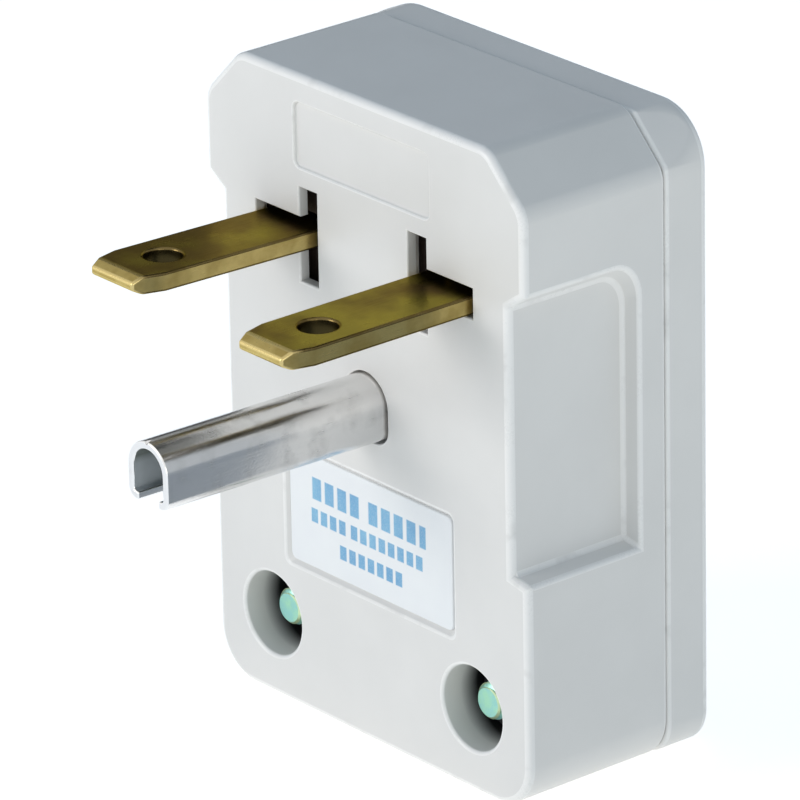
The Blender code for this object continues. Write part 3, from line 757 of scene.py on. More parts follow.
class DrawnLines(SurfaceEffect):
    """The fine lines that rolling, drawing or brushing leaves along a metal strip."""

    name = "drawn_lines"
    inputs = (("Line Size", "NodeSocketFloat", 0.1), ("Stretch", "NodeSocketFloat", 30.0))
    outputs = ("Lines",)

    @classmethod
    def wire(cls, wiring: Wiring, source: Node, target: Node) -> None:
        """Fills the node group.

        Args:
            wiring: The group's wiring.
            source: Its input node.
            target: Its output node.
        """
        parts = wiring.add("SeparateXYZ", None, Vector=source.outputs["Where"])
        along = wiring.number("DIVIDE", parts.outputs["Y"], source.outputs["Stretch"])
        joined = wiring.add("CombineXYZ", None, X=parts.outputs["X"], Y=along,
                            Z=parts.outputs["Z"])
        lines = wiring.noise(joined.outputs[0], source.outputs["Line Size"], detail=5.0,
                             roughness=0.65)
        wiring.feed(target.inputs["Lines"], wiring.spread(lines, *CLOUD_RANGE))


class EdgePatches(SurfaceEffect):
    """Rounded edges broken up into patches, shown as rubbed edges and, on the brass behind the
    tip, as painted shade.
    """

    name = "worn_edge"
    inputs = (("Edge", "NodeSocketFloat", 0.0), ("Patch Size", "NodeSocketFloat", 1.0),
              ("Reach", "NodeSocketFloat", 0.5))
    outputs = ("Wear",)
    fullest = 0.75
    contrast = 6.0

    @classmethod
    def wire(cls, wiring: Wiring, source: Node, target: Node) -> None:
        """Fills the node group.

        Args:
            wiring: The group's wiring.
            source: Its input node.
            target: Its output node.
        """
        patches = wiring.noise(source.outputs["Where"], source.outputs["Patch Size"], detail=3.0)
        reach = wiring.number("MULTIPLY", source.outputs["Reach"], 0.5)
        start = wiring.number("SUBTRACT", cls.fullest, reach)
        rubbed = wiring.number("MULTIPLY", wiring.number("SUBTRACT", patches, start), cls.contrast)
        held = wiring.number("ADD", rubbed, 0.5, clamp=True)
        edge_patch = wiring.number("MULTIPLY", held, source.outputs["Edge"], clamp=True)
        wiring.feed(target.inputs["Wear"], edge_patch)


class PrintedBar(SurfaceEffect):
    """One soft-edged printed bar on the front face, with thin gaps across it."""

    name = "printed_bar"
    inputs = (("Across", "NodeSocketFloat", 0.0), ("Up", "NodeSocketFloat", 0.0),
              ("Half Width", "NodeSocketFloat", 5.0), ("Half Height", "NodeSocketFloat", 0.8),
              ("Pitch", "NodeSocketFloat", 1.6), ("Ink", "NodeSocketFloat", 0.75))
    outputs = ("Print",)
    rim_gain = 12.0
    gap_gain = 14.0

    @classmethod
    def wire(cls, wiring: Wiring, source: Node, target: Node) -> None:
        """Fills the node group.

        Args:
            wiring: The group's wiring.
            source: Its input node.
            target: Its output node.
        """
        parts = wiring.add("SeparateXYZ", None, Vector=source.outputs["Where"])
        across, up = (wiring.number("SUBTRACT", wiring.number("DIVIDE", parts.outputs[axis], MM),
                                    source.outputs[middle])
                      for axis, middle in (("X", "Across"), ("Z", "Up")))
        masks = []
        for offset, half in ((across, "Half Width"), (up, "Half Height")):
            distance = wiring.number("ABSOLUTE", offset)
            inside = wiring.number("SUBTRACT", source.outputs[half], distance)
            masks.append(wiring.number("MULTIPLY", inside, cls.rim_gain, clamp=True))
        from_end = wiring.number("ADD", across, source.outputs["Half Width"])
        turn = wiring.number("FRACT", wiring.number("DIVIDE", from_end, source.outputs["Pitch"]))
        from_middle = wiring.number("ABSOLUTE", wiring.number("SUBTRACT", turn, 0.5))
        half_ink = wiring.number("MULTIPLY", source.outputs["Ink"], 0.5)
        inked = wiring.number("SUBTRACT", half_ink, from_middle)
        gaps = wiring.number("MULTIPLY", inked, cls.gap_gain, clamp=True)
        both = wiring.number("MULTIPLY", *masks)
        wiring.feed(target.inputs["Print"], wiring.number("MULTIPLY", both, gaps, clamp=True))


# Finishes


class Slot(Enum):
    """The record's material slots."""

    WHITE_PLASTIC = "white_plastic"
    BROWN_RESIN = "brown_resin"
    BRASS = "brass"
    NICKEL = "nickel"
    GREEN_ZINC = "green_zinc"
    BRIGHT_ZINC = "bright_zinc"
    PALE_PAPER = "pale_paper"


@dataclass(frozen=True)
class Finish:
    """What every finish has: a slot of the record and a material that is built once."""

    slot: Slot

    def material(self) -> bpy.types.Material:
        """Gives the finish's material, built at the first call."""
        name = "finish_" + self.slot.value
        made = bpy.data.materials.get(name)
        if made:
            return made
        made, wiring, shader = new_material(name)
        where = wiring.add("TexCoord").outputs["Object"]
        self.wire(wiring, shader, where, wiring.attribute("edge"))
        return made

    def wire(self, wiring: Wiring, shader: Node, where: Socket, edge: Socket) -> None:
        """Fills the material.

        Args:
            wiring: The material's wiring.
            shader: Its Principled BSDF.
            where: The object coordinates.
            edge: The attribute that marks rounded edges.
        """
        raise NotImplementedError

    def dress(self, piece: Piece) -> None:
        """Gives a new piece this finish.

        Args:
            piece: The piece to dress.
        """
        piece.data.materials.clear()
        piece.data.materials.append(self.material())

    def dress_node(self, node: str) -> None:
        """Gives a CAD node this finish."""
        for place in frame["nodes"][node].material_slots:
            place.material = self.material()


@dataclass(frozen=True)
class MouldedPlastic(Finish):
    """Moulded plastic with a satin, faintly grained surface."""

    light: Colour = (0.80, 0.79, 0.77)
    shade: Colour = (0.77, 0.76, 0.74)
    rubbed: Colour = (0.92, 0.91, 0.89)
    roughness: Pair = (0.30, 0.38)
    cloud_size: float = 7.0
    grain_size: float = 0.16
    grain_depth: float = 0.004
    grain_bump: float = 0.35
    grain_matt: float = 0.05
    speckle: float = 0.0
    speckle_range: Pair = (0.62, 0.8)
    wear_size: float = 2.2
    wear_reach: float = 0.8
    wear_share: float = 0.85
    wear_polish: float = 0.06
    # Near-black painted shade on marked faces, coming in between these depths into the bore.
    grime: Colour = (0.02, 0.02, 0.02)
    grime_reach: Pair = (1.8, 3.5)

    def wire(self, wiring: Wiring, shader: Node, where: Socket, edge: Socket) -> None:
        """Fills the material.

        Args:
            wiring: The material's wiring.
            shader: Its Principled BSDF.
            where: The object coordinates.
            edge: The attribute that marks rounded edges.
        """
        cloud, grain = MouldedSkin.place(wiring, Where=where, Cloud_Size=self.cloud_size,
                                         Grain_Size=self.grain_size)
        edge_patch = EdgePatches.place(wiring, Where=where, Edge=edge, Patch_Size=self.wear_size,
                              Reach=self.wear_reach)[0]
        tone = wiring.tint(cloud, self.shade, self.light)
        if self.speckle:
            fleck = wiring.spread(grain, *self.speckle_range, 0.0, self.speckle)
            tone = wiring.tint(fleck, tone, self.rubbed)
        edge_toned = wiring.tint(wiring.number("MULTIPLY", edge_patch, self.wear_share), tone, self.rubbed)
        # Painted shade: marked bore walls darken towards the back of the bores.
        inward = wiring.spread(wiring.part(where, "Y"), *(end * MM for end in self.grime_reach))
        painted_shade_share = wiring.number("MULTIPLY", wiring.attribute("grime"), inward)
        wiring.feed(shader.inputs["Base Color"], wiring.tint(painted_shade_share, edge_toned, self.grime))
        satin = wiring.spread(cloud, 0.0, 1.0, *self.roughness)
        grained = wiring.number("ADD", satin, wiring.number("MULTIPLY", grain, self.grain_matt))
        polish = wiring.number("MULTIPLY", edge_patch, self.wear_polish)
        wiring.feed(shader.inputs["Roughness"], wiring.number("SUBTRACT", grained, polish))
        bump = wiring.add("Bump", None, Strength=self.grain_bump,
                          Distance=self.grain_depth * MM, Height=grain)
        wiring.feed(shader.inputs["Normal"], bump.outputs[0])


@dataclass(frozen=True)
class StripMetal(Finish):
    """Rolled, drawn or plated metal: lines along Y, stains, dull stained faces, rubbed edges and
    painted shade.
    """

    clean: Colour = (0.62, 0.63, 0.64)
    stained: Colour = (0.50, 0.50, 0.50)
    rubbed: Colour = (0.72, 0.72, 0.72)
    stain_size: float = 3.0
    stain_from: float = 0.35
    stain_span: float = 0.45
    stain_lines: float = 0.75
    stain_matt: float = 0.08
    roughness: Pair = (0.24, 0.40)
    line_size: float = 0.09
    line_stretch: float = 30.0
    line_depth: float = 0.004
    pit_size: float = 0.22
    pit_depth: float = 0.006
    bump: float = 0.4
    grazing: Colour = (1.0, 1.0, 1.0)
    dull: Colour = (0.30, 0.31, 0.31)
    dull_stained: Colour = (0.16, 0.17, 0.17)
    # Near black: painted shade on faces that look down, on flats inside the body and on marked
    # faces.
    grimy: Colour = (0.05, 0.05, 0.055)
    dull_size: float = 4.0
    dull_range: Pair = (0.38, 0.60)
    dull_lean: float = 0.0
    dull_gain: float = 0.10
    dull_metal: float = 1.0
    # Faces that look down fade into painted shade across this span of normal heights.
    downward_shade: Pair = (-0.02, -0.4)
    # Behind this depth, inside the slots and the body, the flats fade into painted shade.
    slot_shade_from: float = 100.0
    slot_shade_span: float = 0.9
    # Rounded edges behind the tip take this colour, which on the brass is a near-black painted
    # shade; towards the tip they are rubbed.
    edge_shade: Colour = (0.70, 0.70, 0.70)
    rub_from: float = 100.0
    rub_span: float = 1.0
    wear_size: float = 1.2
    wear_reach: float = 1.0
    wear_share: float = 0.8
    wear_polish: float = 0.05

    def wire(self, wiring: Wiring, shader: Node, where: Socket, edge: Socket) -> None:
        """Fills the material.

        Args:
            wiring: The material's wiring.
            shader: Its Principled BSDF.
            where: The object coordinates.
            edge: The attribute that marks rounded edges.
        """
        shader.inputs["Specular Tint"].default_value = (*self.grazing, 1.0)
        lines = DrawnLines.place(wiring, Where=where, Line_Size=self.line_size,
                                 Stretch=self.line_stretch)[0]
        cloud, grain = MouldedSkin.place(wiring, Where=where, Cloud_Size=self.stain_size,
                                         Grain_Size=self.pit_size)
        edge_patch = EdgePatches.place(wiring, Where=where, Edge=edge, Patch_Size=self.wear_size,
                              Reach=self.wear_reach)[0]
        dull = wiring.attribute("dull")
        along = wiring.part(where, "Y")
        stain = wiring.number(
            "MULTIPLY", wiring.spread(cloud, self.stain_from, self.stain_from + self.stain_span),
            wiring.spread(lines, 0.0, 1.0, self.stain_lines, 1.0))
        tone = wiring.tint(dull, wiring.tint(stain, self.clean, self.stained),
                           self.tarnish_and_shade(wiring, where, along))
        # Rounded edges take the painted edge shade behind the tip and the rubbed colour towards
        # it.
        in_use = wiring.spread(along, self.rub_from * MM, (self.rub_from - self.rub_span) * MM)
        edge_toned = wiring.tint(wiring.number("MULTIPLY", edge_patch, self.wear_share), tone,
                           wiring.tint(in_use, self.edge_shade, self.rubbed))
        wiring.feed(shader.inputs["Base Color"], edge_toned)
        wiring.feed(shader.inputs["Metallic"],
                    wiring.spread(dull, 0.0, 1.0, 1.0, self.dull_metal))
        matt = wiring.spread(lines, 0.0, 1.0, *self.roughness)
        for mask, gain in ((stain, self.stain_matt), (dull, self.dull_gain)):
            matt = wiring.number("ADD", matt, wiring.number("MULTIPLY", mask, gain))
        polish = wiring.number("MULTIPLY", edge_patch, self.wear_polish)
        wiring.feed(shader.inputs["Roughness"], wiring.number("SUBTRACT", matt, polish))
        rolled = wiring.add("Bump", None, Strength=self.bump, Distance=self.line_depth * MM,
                            Height=lines)
        pitted = wiring.add("Bump", None, Strength=self.bump, Distance=self.pit_depth * MM,
                            Height=grain, Normal=rolled.outputs[0])
        wiring.feed(shader.inputs["Normal"], pitted.outputs[0])

    def tarnish_and_shade(self, wiring: Wiring, where: Socket, along: Socket) -> Socket:
        """Makes the colour of dull faces: stain patches, and painted shade on faces that look
        down, inside the body and on marked faces.

        Args:
            wiring: The material's wiring.
            where: The object coordinates.
            along: Their part along Y.

        Returns:
            The colour.
        """
        patches = wiring.number(
            "ADD", wiring.noise(where, self.dull_size, detail=3.0),
            wiring.number("MULTIPLY", wiring.part(where, "X"), self.dull_lean))
        facing = wiring.part(wiring.add("TexCoord").outputs["Normal"], "Z")
        slot_shade = wiring.spread(along, self.slot_shade_from * MM, (self.slot_shade_from + self.slot_shade_span) * MM)
        shade_below_and_in_slot = wiring.number("MAXIMUM", wiring.spread(facing, *self.downward_shade), slot_shade)
        # Painted shade, near black, where a face looks down, lies inside the body or is marked.
        dark = wiring.number("MAXIMUM", shade_below_and_in_slot, wiring.attribute("grime"))
        patchy = wiring.tint(wiring.spread(patches, *self.dull_range), self.dull,
                             self.dull_stained)
        return wiring.tint(dark, patchy, self.grimy)


@dataclass(frozen=True)
class PrintedPaper(Finish):
    """A pale coated label with plain blue bars printed in three rows."""

    sheet: Colour = (0.88, 0.90, 0.91)
    shade: Colour = (0.85, 0.87, 0.89)
    ink: Colour = (0.13, 0.36, 0.62)
    faint: Colour = (0.22, 0.50, 0.72)
    skin_sizes: Pair = (4.0, 0.12)
    wear_size: float = 1.0
    wear_reach: float = 0.8
    wear_matt: float = 0.1
    ink_share: float = 0.78
    ink_grain: Pair = (0.1, 0.6)
    ink_least: float = 0.82
    ink_height: float = 0.7
    roughness: Pair = (0.34, 0.46)
    bump: float = 0.3
    bump_depth: float = 0.006
    bars: tuple[tuple[float, float, float, float, float], ...] = (
        (-4.1, -20.65, 3.0, 0.95, 1.5), (3.1, -20.65, 3.5, 0.95, 1.5),
        (-5.0, -22.9, 2.2, 0.62, 1.1), (1.9, -22.9, 4.4, 0.62, 1.1),
        (0.0, -25.0, 3.85, 0.62, 1.1))

    def wire(self, wiring: Wiring, shader: Node, where: Socket, edge: Socket) -> None:
        """Fills the material.

        Args:
            wiring: The material's wiring.
            shader: Its Principled BSDF.
            where: The object coordinates.
            edge: The attribute that marks rounded edges.
        """
        cloud, grain = MouldedSkin.place(wiring, Where=where, Cloud_Size=self.skin_sizes[0],
                                         Grain_Size=self.skin_sizes[1])
        edge_patch = EdgePatches.place(wiring, Where=where, Edge=edge, Patch_Size=self.wear_size,
                              Reach=self.wear_reach)[0]
        printed = None
        for across, up, half_width, half_height, pitch in self.bars:
            bar = PrintedBar.place(wiring, Where=where, Across=across, Up=up,
                                   Half_Width=half_width, Half_Height=half_height, Pitch=pitch,
                                   Ink=self.ink_share)[0]
            printed = wiring.number("MAXIMUM", printed, bar) if printed else bar
        inked = wiring.number("MULTIPLY", printed,
                              wiring.spread(grain, *self.ink_grain, self.ink_least, 1.0))
        paper = wiring.tint(cloud, self.shade, self.sheet)
        ink = wiring.tint(cloud, self.ink, self.faint)
        wiring.feed(shader.inputs["Base Color"], wiring.tint(inked, paper, ink))
        coated = wiring.spread(grain, 0.0, 1.0, *self.roughness)
        matt = wiring.number("MULTIPLY", edge_patch, self.wear_matt)
        wiring.feed(shader.inputs["Roughness"], wiring.number("ADD", coated, matt))
        height = wiring.number("ADD", grain, wiring.number("MULTIPLY", printed, self.ink_height))
        bump = wiring.add("Bump", None, Strength=self.bump, Distance=self.bump_depth * MM,
                          Height=height)
        wiring.feed(shader.inputs["Normal"], bump.outputs[0])


WHITE = MouldedPlastic(Slot.WHITE_PLASTIC)
RESIN = MouldedPlastic(Slot.BROWN_RESIN, light=(0.055, 0.038, 0.032), shade=(0.040, 0.028, 0.024),
                       rubbed=(0.11, 0.085, 0.07), roughness=(0.46, 0.60), cloud_size=3.0,
                       grain_size=0.2, grain_depth=0.012, speckle=0.5)
# The brass's dull flats are darker than its sides: partly stain patches, partly a painted dark
# reflection. Its rounded edges behind the tip are painted shade.
BRASS = StripMetal(Slot.BRASS, clean=(0.56, 0.44, 0.17), stained=(0.40, 0.30, 0.10),
                   rubbed=(0.60, 0.49, 0.22), stain_from=0.3, roughness=(0.24, 0.36),
                   grazing=(0.85, 0.74, 0.42), dull=(0.26, 0.22, 0.06),
                   dull_stained=(0.13, 0.09, 0.045), grimy=(0.045, 0.035, 0.014),
                   dull_size=6.0, dull_gain=0.0, dull_lean=-14.0, slot_shade_from=-0.6,
                   edge_shade=(0.055, 0.035, 0.014), rub_from=-15.4)
NICKEL = StripMetal(Slot.NICKEL, clean=(0.77, 0.765, 0.76), stained=(0.62, 0.615, 0.61),
                    rubbed=(0.82, 0.82, 0.81), stain_size=2.5, stain_from=0.5,
                    roughness=(0.16, 0.25), line_size=0.14, dull=(0.40, 0.43, 0.45),
                    dull_stained=(0.30, 0.33, 0.34), grimy=(0.10, 0.12, 0.11),
                    dull_gain=0.35, dull_metal=0.1)
GREEN_ZINC = StripMetal(Slot.GREEN_ZINC, clean=(0.36, 0.66, 0.48), stained=(0.30, 0.60, 0.56),
                        rubbed=(0.66, 0.78, 0.46), stain_size=1.2, stain_from=0.3,
                        roughness=(0.30, 0.45), line_stretch=1.0)
BRIGHT_ZINC = StripMetal(Slot.BRIGHT_ZINC, clean=(0.62, 0.63, 0.65), stained=(0.48, 0.50, 0.54),
                         rubbed=(0.74, 0.74, 0.74), stain_size=2.0, roughness=(0.28, 0.44),
                         line_stretch=1.0)
PAPER = PrintedPaper(Slot.PALE_PAPER)


# The plug's sub-assemblies


@dataclass(frozen=True)
class BodyForm:
    """The outline that both mouldings share, the hollow inside it, and the holes through both."""

    half_width: float = 18.5
    top: float = 12.75
    bottom: float = -39.55
    top_cut: float = 4.1
    top_soft: float = 2.0
    bottom_radius: float = 4.0
    parting_radius: float = 0.3
    wall: float = 1.9
    grip_depth: float = 1.84
    grip_top: float = 2.4
    grip_bottom: float = -20.45
    screw_place: Pair = (11.87, -32.76)
    screw_hole: float = 1.8
    column_radius: float = 5.195
    inlet_radius: float = 5.5
    inlet_depth: float = 9.6
    inlet_height: float = 5.2

    def screw_axis(self, side: Side) -> Pair:
        """Gives a cover screw's place across and up."""
        return side.value * self.screw_place[0], self.screw_place[1]

    def from_screw(self, spot: Vector) -> float:
        """Gives a place's distance from the nearer cover screw's axis."""
        return math.hypot(abs(spot.x) - self.screw_place[0], spot.z - self.screw_place[1])

    def inlet(self) -> Piece:
        """Makes the cutter of the cord inlet."""
        return rod("inlet", self.inlet_radius, (0.0, self.inlet_depth), self.bottom - BEYOND,
                   self.bottom + self.inlet_height, Axis.Z, ROUND_SIDES)

    def solid(self, name: str, front: float, back: float, inset: float = 0.0) -> Piece:
        """Makes the outline as a solid.

        Args:
            name: The name of the new piece.
            front: Where it begins in depth.
            back: Where it ends.
            inset: How far it is smaller all round.

        Returns:
            The solid, with cut top corners and round bottom corners.
        """
        side = self.half_width - inset
        top = self.top - inset
        bottom = self.bottom + inset
        piece = block(name, (-side, front, bottom), (side, back, top))
        cut = self.top_cut - (2.0 - math.sqrt(2.0)) * inset

        def at_top(one: Vector, two: Vector) -> bool:
            """Says whether an edge runs along an upper corner."""
            return (min(one.z, two.z) > top - TOUCH and abs(one.x) > side - TOUCH
                    and abs(one.x - two.x) < TOUCH)

        def at_bottom(one: Vector, two: Vector) -> bool:
            """Says whether an edge runs along a lower corner."""
            return max(one.z, two.z) < bottom + TOUCH and abs(one.x - two.x) < TOUCH

        def at_cut(one: Vector, two: Vector) -> bool:
            """Says whether an edge borders a cut corner."""
            return abs(one.y - two.y) > LONG and one.z > top - cut - LONG

        round_edges(piece, cut, 1, at_top, marked=False)
        round_edges(piece, self.bottom_radius - inset, 16, at_bottom, marked=False)
        if inset == 0.0:
            reach = self.top_soft * math.tan(math.radians(45.0 / 2))
            round_edges(piece, reach, 6, at_cut, marked=False)
        return piece

    def wedge(self, name: str, side: Side, inner: Point, outer: Point, front: float,
              back: float) -> Piece:
        """Makes a block whose inner and outer faces have different heights.

        Args:
            name: The name of the new piece.
            side: The half of the plug that it is in.
            inner: The inner face's distance from the middle, its low and its high end.
            outer: The same for the outer face.
            front: Where it begins in depth.
            back: Where it ends.

        Returns:
            The wedge.
        """
        across = sorted((side.value * inner[0], side.value * outer[0]))
        piece = block(name, (across[0], front, inner[1]), (across[1], back, inner[2]))
        middle = (inner[1] + inner[2]) / 2
        edge = side.value * outer[0]
        shift(piece, lambda spot: abs(spot.x - edge) < TOUCH and spot.z < middle,
              (0.0, 0.0, outer[1] - inner[1]))
        shift(piece, lambda spot: abs(spot.x - edge) < TOUCH and spot.z > middle,
              (0.0, 0.0, outer[2] - inner[2]))
        return piece

    def hollow(self, name: str, front: float, back: float, inset: float = 0.0) -> Piece:
        """Makes the space inside the walls, stepped in behind the finger grips.

        Args:
            name: The name of the new piece.
            front: Where it begins in depth.
            back: Where it ends.
            inset: How far it is smaller than the walls' inner side.

        Returns:
            The space as a solid.
        """
        wall = self.wall + inset
        piece = self.solid(name, front, back, wall)
        side = self.half_width - wall
        waist = side - self.grip_depth
        low = self.grip_bottom - wall
        high = self.grip_top + wall
        grow = 1.0 + BEYOND / self.grip_depth
        for half in Side:
            inner = (waist, low, high - self.grip_depth)
            outer = (side + BEYOND, low - self.grip_depth / 2 * grow, high + BEYOND)
            combine(piece, Merge.AWAY, self.wedge("grip_backing", half, inner, outer,
                                                  front - BEYOND, back + BEYOND))
        return piece


@dataclass
class FrontHousing:
    """The moulded front: face, walls, finger grips, slots, bores, columns and clamp posts."""

    form: BodyForm = field(default_factory=BodyForm)
    depth: float = 13.8
    face_wall: float = 1.6
    front_radius: float = 0.55
    grip_reach: float = 11.16
    grip_edge: float = 0.32
    grip_corner: float = 2.3
    grip_high: float = 2.2
    grip_slope: float = 0.67
    grip_drop: float = 0.73
    slot_inner: float = 5.3
    slot_arm: float = 2.1
    slot_height: float = 7.6
    slot_top_play: float = 0.3
    slot_wall: float = 0.85
    slot_end: float = 12.65
    relief_play: float = 0.6
    relief_lap: float = 0.2
    mouth_radius: float = 0.16
    pin_half: float = 2.56
    pin_top: float = -9.01
    pin_bottom: float = -14.5
    pin_top_radius: float = 2.5595
    pin_low_radius: float = 1.4
    panel_corner: float = 0.6
    panel_floor_radius: float = 0.12
    name_half: Pair = (7.85, 2.6)
    name_middle: float = 7.95
    name_depth: float = 0.3
    label_half: Pair = (9.62, 4.67)
    label_middle: float = -22.65
    label_depth: float = 0.5
    label_flare: float = 0.43
    bore_radius: float = 3.395
    bore_depth: float = 6.3
    bore_rim: float = 0.3
    root: float = 0.8
    column_drop: float = 0.4
    post_place: Pair = (7.7, -24.9)
    post_radius: float = 2.4
    post_back: float = 11.8
    post_floor: float = 0.3
    inlet_edge: float = 0.25
    hook_pocket: tuple[Point, Point] = ((-4.3, 12.65, 10.05), (4.3, 14.15, 11.75))

    def build(self) -> Piece:
        """Builds, finishes and dresses the housing.

        Returns:
            The housing.
        """
        shell = self.outer_shell()
        self.hollow_out(shell)
        self.open_face(shell)
        self.soften_mouths(shell)
        # The bore walls get painted shade, darkest deep inside.
        mark_faces(shell, Mark.GRIMY, lambda spot, normal: abs(normal.y) < 0.5
                   and spot.y < self.bore_depth
                   and self.form.from_screw(spot) < self.bore_radius + TOUCH)
        finish_piece(shell)
        WHITE.dress(shell)
        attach(shell, "root")
        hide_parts("front_housing")
        return shell

    def outer_shell(self) -> Piece:
        """Makes the outside, with its grips and its rounded edges.

        Returns:
            The solid outer form.
        """
        form = self.form
        shell = form.solid("housing_shell", 0.0, self.depth)
        floor = form.half_width - form.grip_depth
        for side in Side:
            inner = (floor, form.grip_bottom, self.grip_high - self.grip_slope * form.grip_depth)
            outer = (form.half_width + BEYOND, form.grip_bottom - self.grip_drop,
                     self.grip_high + self.grip_slope * BEYOND)
            space = form.wedge("grip_space", side, inner, outer, -BEYOND, self.grip_reach)
            round_edges(space, self.grip_corner, 8, lambda one, two: min(one.z, two.z) > 0.0
                        and min(one.y, two.y) > self.grip_reach - TOUCH, marked=False)
            combine(shell, Merge.AWAY, space)
        clean_flats(shell)
        round_edges(shell, self.front_radius, 6, before(0.0))
        round_edges(shell, form.parting_radius, 3, behind(self.depth))
        round_edges(shell, self.grip_edge, 4, self.is_grip_edge, sharp=30.0)
        return shell

    def is_grip_edge(self, one: Vector, two: Vector) -> bool:
        """Says whether an edge borders a finger grip behind the front rounding.

        Args:
            one: One end of the edge.
            two: Its other end.

        Returns:
            Whether it is a grip's edge.
        """
        floor = self.form.half_width - self.form.grip_depth - TOUCH
        return (min(one.y, two.y) > self.front_radius - TOUCH
                and max(one.y, two.y) < self.grip_reach + TOUCH
                and min(abs(one.x), abs(two.x)) > floor)

    def hollow_out(self, shell: Piece) -> None:
        """Cuts the inside, and adds the screw columns and the clamp posts.

        Args:
            shell: The solid outer form.
        """
        form = self.form
        combine(shell, Merge.AWAY, form.hollow("inside", self.face_wall, self.depth + BEYOND))
        for side in Side:
            column = form.screw_axis(side)
            post = (side.value * self.post_place[0], self.post_place[1])
            combine(shell, Merge.ON,
                    rod("column", form.column_radius, column, self.root,
                        self.depth - self.column_drop),
                    rod("post", self.post_radius, post, self.root, self.post_back))
            combine(shell, Merge.AWAY,
                    rod("bore", self.bore_radius, column, -BEYOND, self.bore_depth,
                        sides=ROUND_SIDES),
                    rod("screw_way", form.screw_hole, column, self.bore_depth - LAP,
                        self.depth + BEYOND),
                    rod("post_way", form.screw_hole, post, self.face_wall + self.post_floor,
                        self.post_back + BEYOND))

    def open_face(self, shell: Piece) -> None:
        """Cuts the slots, the pin's hole, the two shallow panels, the inlet and the hook's pocket.

        Args:
            shell: The hollow housing.
        """
        through = self.face_wall + BEYOND
        pin = block("pin_way", (-self.pin_half, -BEYOND, self.pin_bottom),
                    (self.pin_half, through, self.pin_top))
        round_edges(pin, self.pin_top_radius, 14, upper_corner(self.pin_top), marked=False)
        round_edges(pin, self.pin_low_radius, 6, lower_corner(self.pin_bottom), marked=False)
        combine(shell, Merge.AWAY, self.slot_cutter(Side.LEFT), self.slot_cutter(Side.RIGHT), pin,
                self.panel("name_panel", self.name_half, self.name_middle, self.name_depth),
                self.panel("label_panel", self.label_half, self.label_middle, self.label_depth,
                           self.label_flare),
                self.form.inlet(), block("hook_pocket", *self.hook_pocket))
        half = self.slot_height / 2 + self.relief_play
        for side in Side:
            across = sorted((side.value * (self.slot_inner - self.relief_play),
                             side.value * (self.slot_end + self.relief_play)))
            combine(shell, Merge.AWAY,
                    block("relief", (across[0], self.slot_wall, -half),
                          (across[1], self.face_wall + self.relief_lap, half)))
        clean_flats(shell)

    def slot_cutter(self, side: Side) -> Piece:
        """Makes one T-shaped cutter: an upright stem, and an arm that points outwards.

        Args:
            side: The half of the plug that it is in.

        Returns:
            The cutter.
        """
        near = side.value * self.slot_inner
        far = side.value * (self.slot_inner + self.slot_arm)
        half = self.slot_height / 2
        cutter = block("slot", (min(near, far), -BEYOND, -half),
                       (max(near, far), self.face_wall + BEYOND, half))
        for height in (-self.slot_arm / 2, self.slot_arm / 2 + self.slot_top_play):
            slice_at(cutter, (0.0, 0.0, height), (0.0, 0.0, 1.0))
        arm = side.value * (self.slot_end - self.slot_inner - self.slot_arm)
        pull_out(cutter, lambda spot, normal: abs(spot.z) < self.slot_arm / 4
                 and abs(spot.x - far) < TOUCH, (arm, 0.0, 0.0))
        return cutter

    def panel(self, name: str, half: Pair, middle: float, depth: float,
              flare: float = 0.0) -> Piece:
        """Makes the cutter of a shallow panel with round corners.

        Args:
            name: The name of the cutter.
            half: Half its floor's width and half its height.
            middle: The height of its middle.
            depth: How deep it goes.
            flare: How much wider its mouth is on each side.

        Returns:
            The cutter, with a softened floor edge.
        """
        across, up = half
        cutter = block(name, (-across, -BEYOND, middle - up), (across, depth, middle + up))
        round_edges(cutter, self.panel_corner, 8, lambda one, two: abs(one.y - two.y) > LONG,
                    marked=False)
        if flare:
            slice_at(cutter, (0.0, 0.0, 0.0), (0.0, 1.0, 0.0))
            stretch(cutter, lambda spot: spot.y < TOUCH,
                    (1.0 + flare / across, 1.0, 1.0 + flare / up), (0.0, 0.0, middle))
        round_edges(cutter, self.panel_floor_radius, 3, behind(depth), marked=False)
        return cutter

    def soften_mouths(self, shell: Piece) -> None:
        """Rounds the edges of every opening in the face, and the inlet's rim.

        Args:
            shell: The housing with its openings.
        """
        def at_bore(one: Vector, two: Vector) -> bool:
            """Says whether an edge lies at a bore's mouth."""
            reach = max(self.form.from_screw(one), self.form.from_screw(two))
            return before(0.0)(one, two) and reach < self.bore_radius + NEAR

        def elsewhere(one: Vector, two: Vector) -> bool:
            """Says whether an edge lies at another mouth in the face."""
            away = self.form.from_screw(one) >= self.bore_radius + NEAR
            return before(0.0)(one, two) and away

        def at_inlet(one: Vector, two: Vector) -> bool:
            """Says whether an edge lies on the inlet's rim."""
            reach = [math.hypot(spot.x, spot.y - self.form.inlet_depth) for spot in (one, two)]
            return (max(one.z, two.z) < self.form.bottom + TOUCH
                    and max(reach) < self.form.inlet_radius + NEAR)

        round_edges(shell, self.bore_rim, 4, at_bore)
        round_edges(shell, self.mouth_radius, 3, elsewhere)
        round_edges(shell, self.inlet_edge, 3, at_inlet)


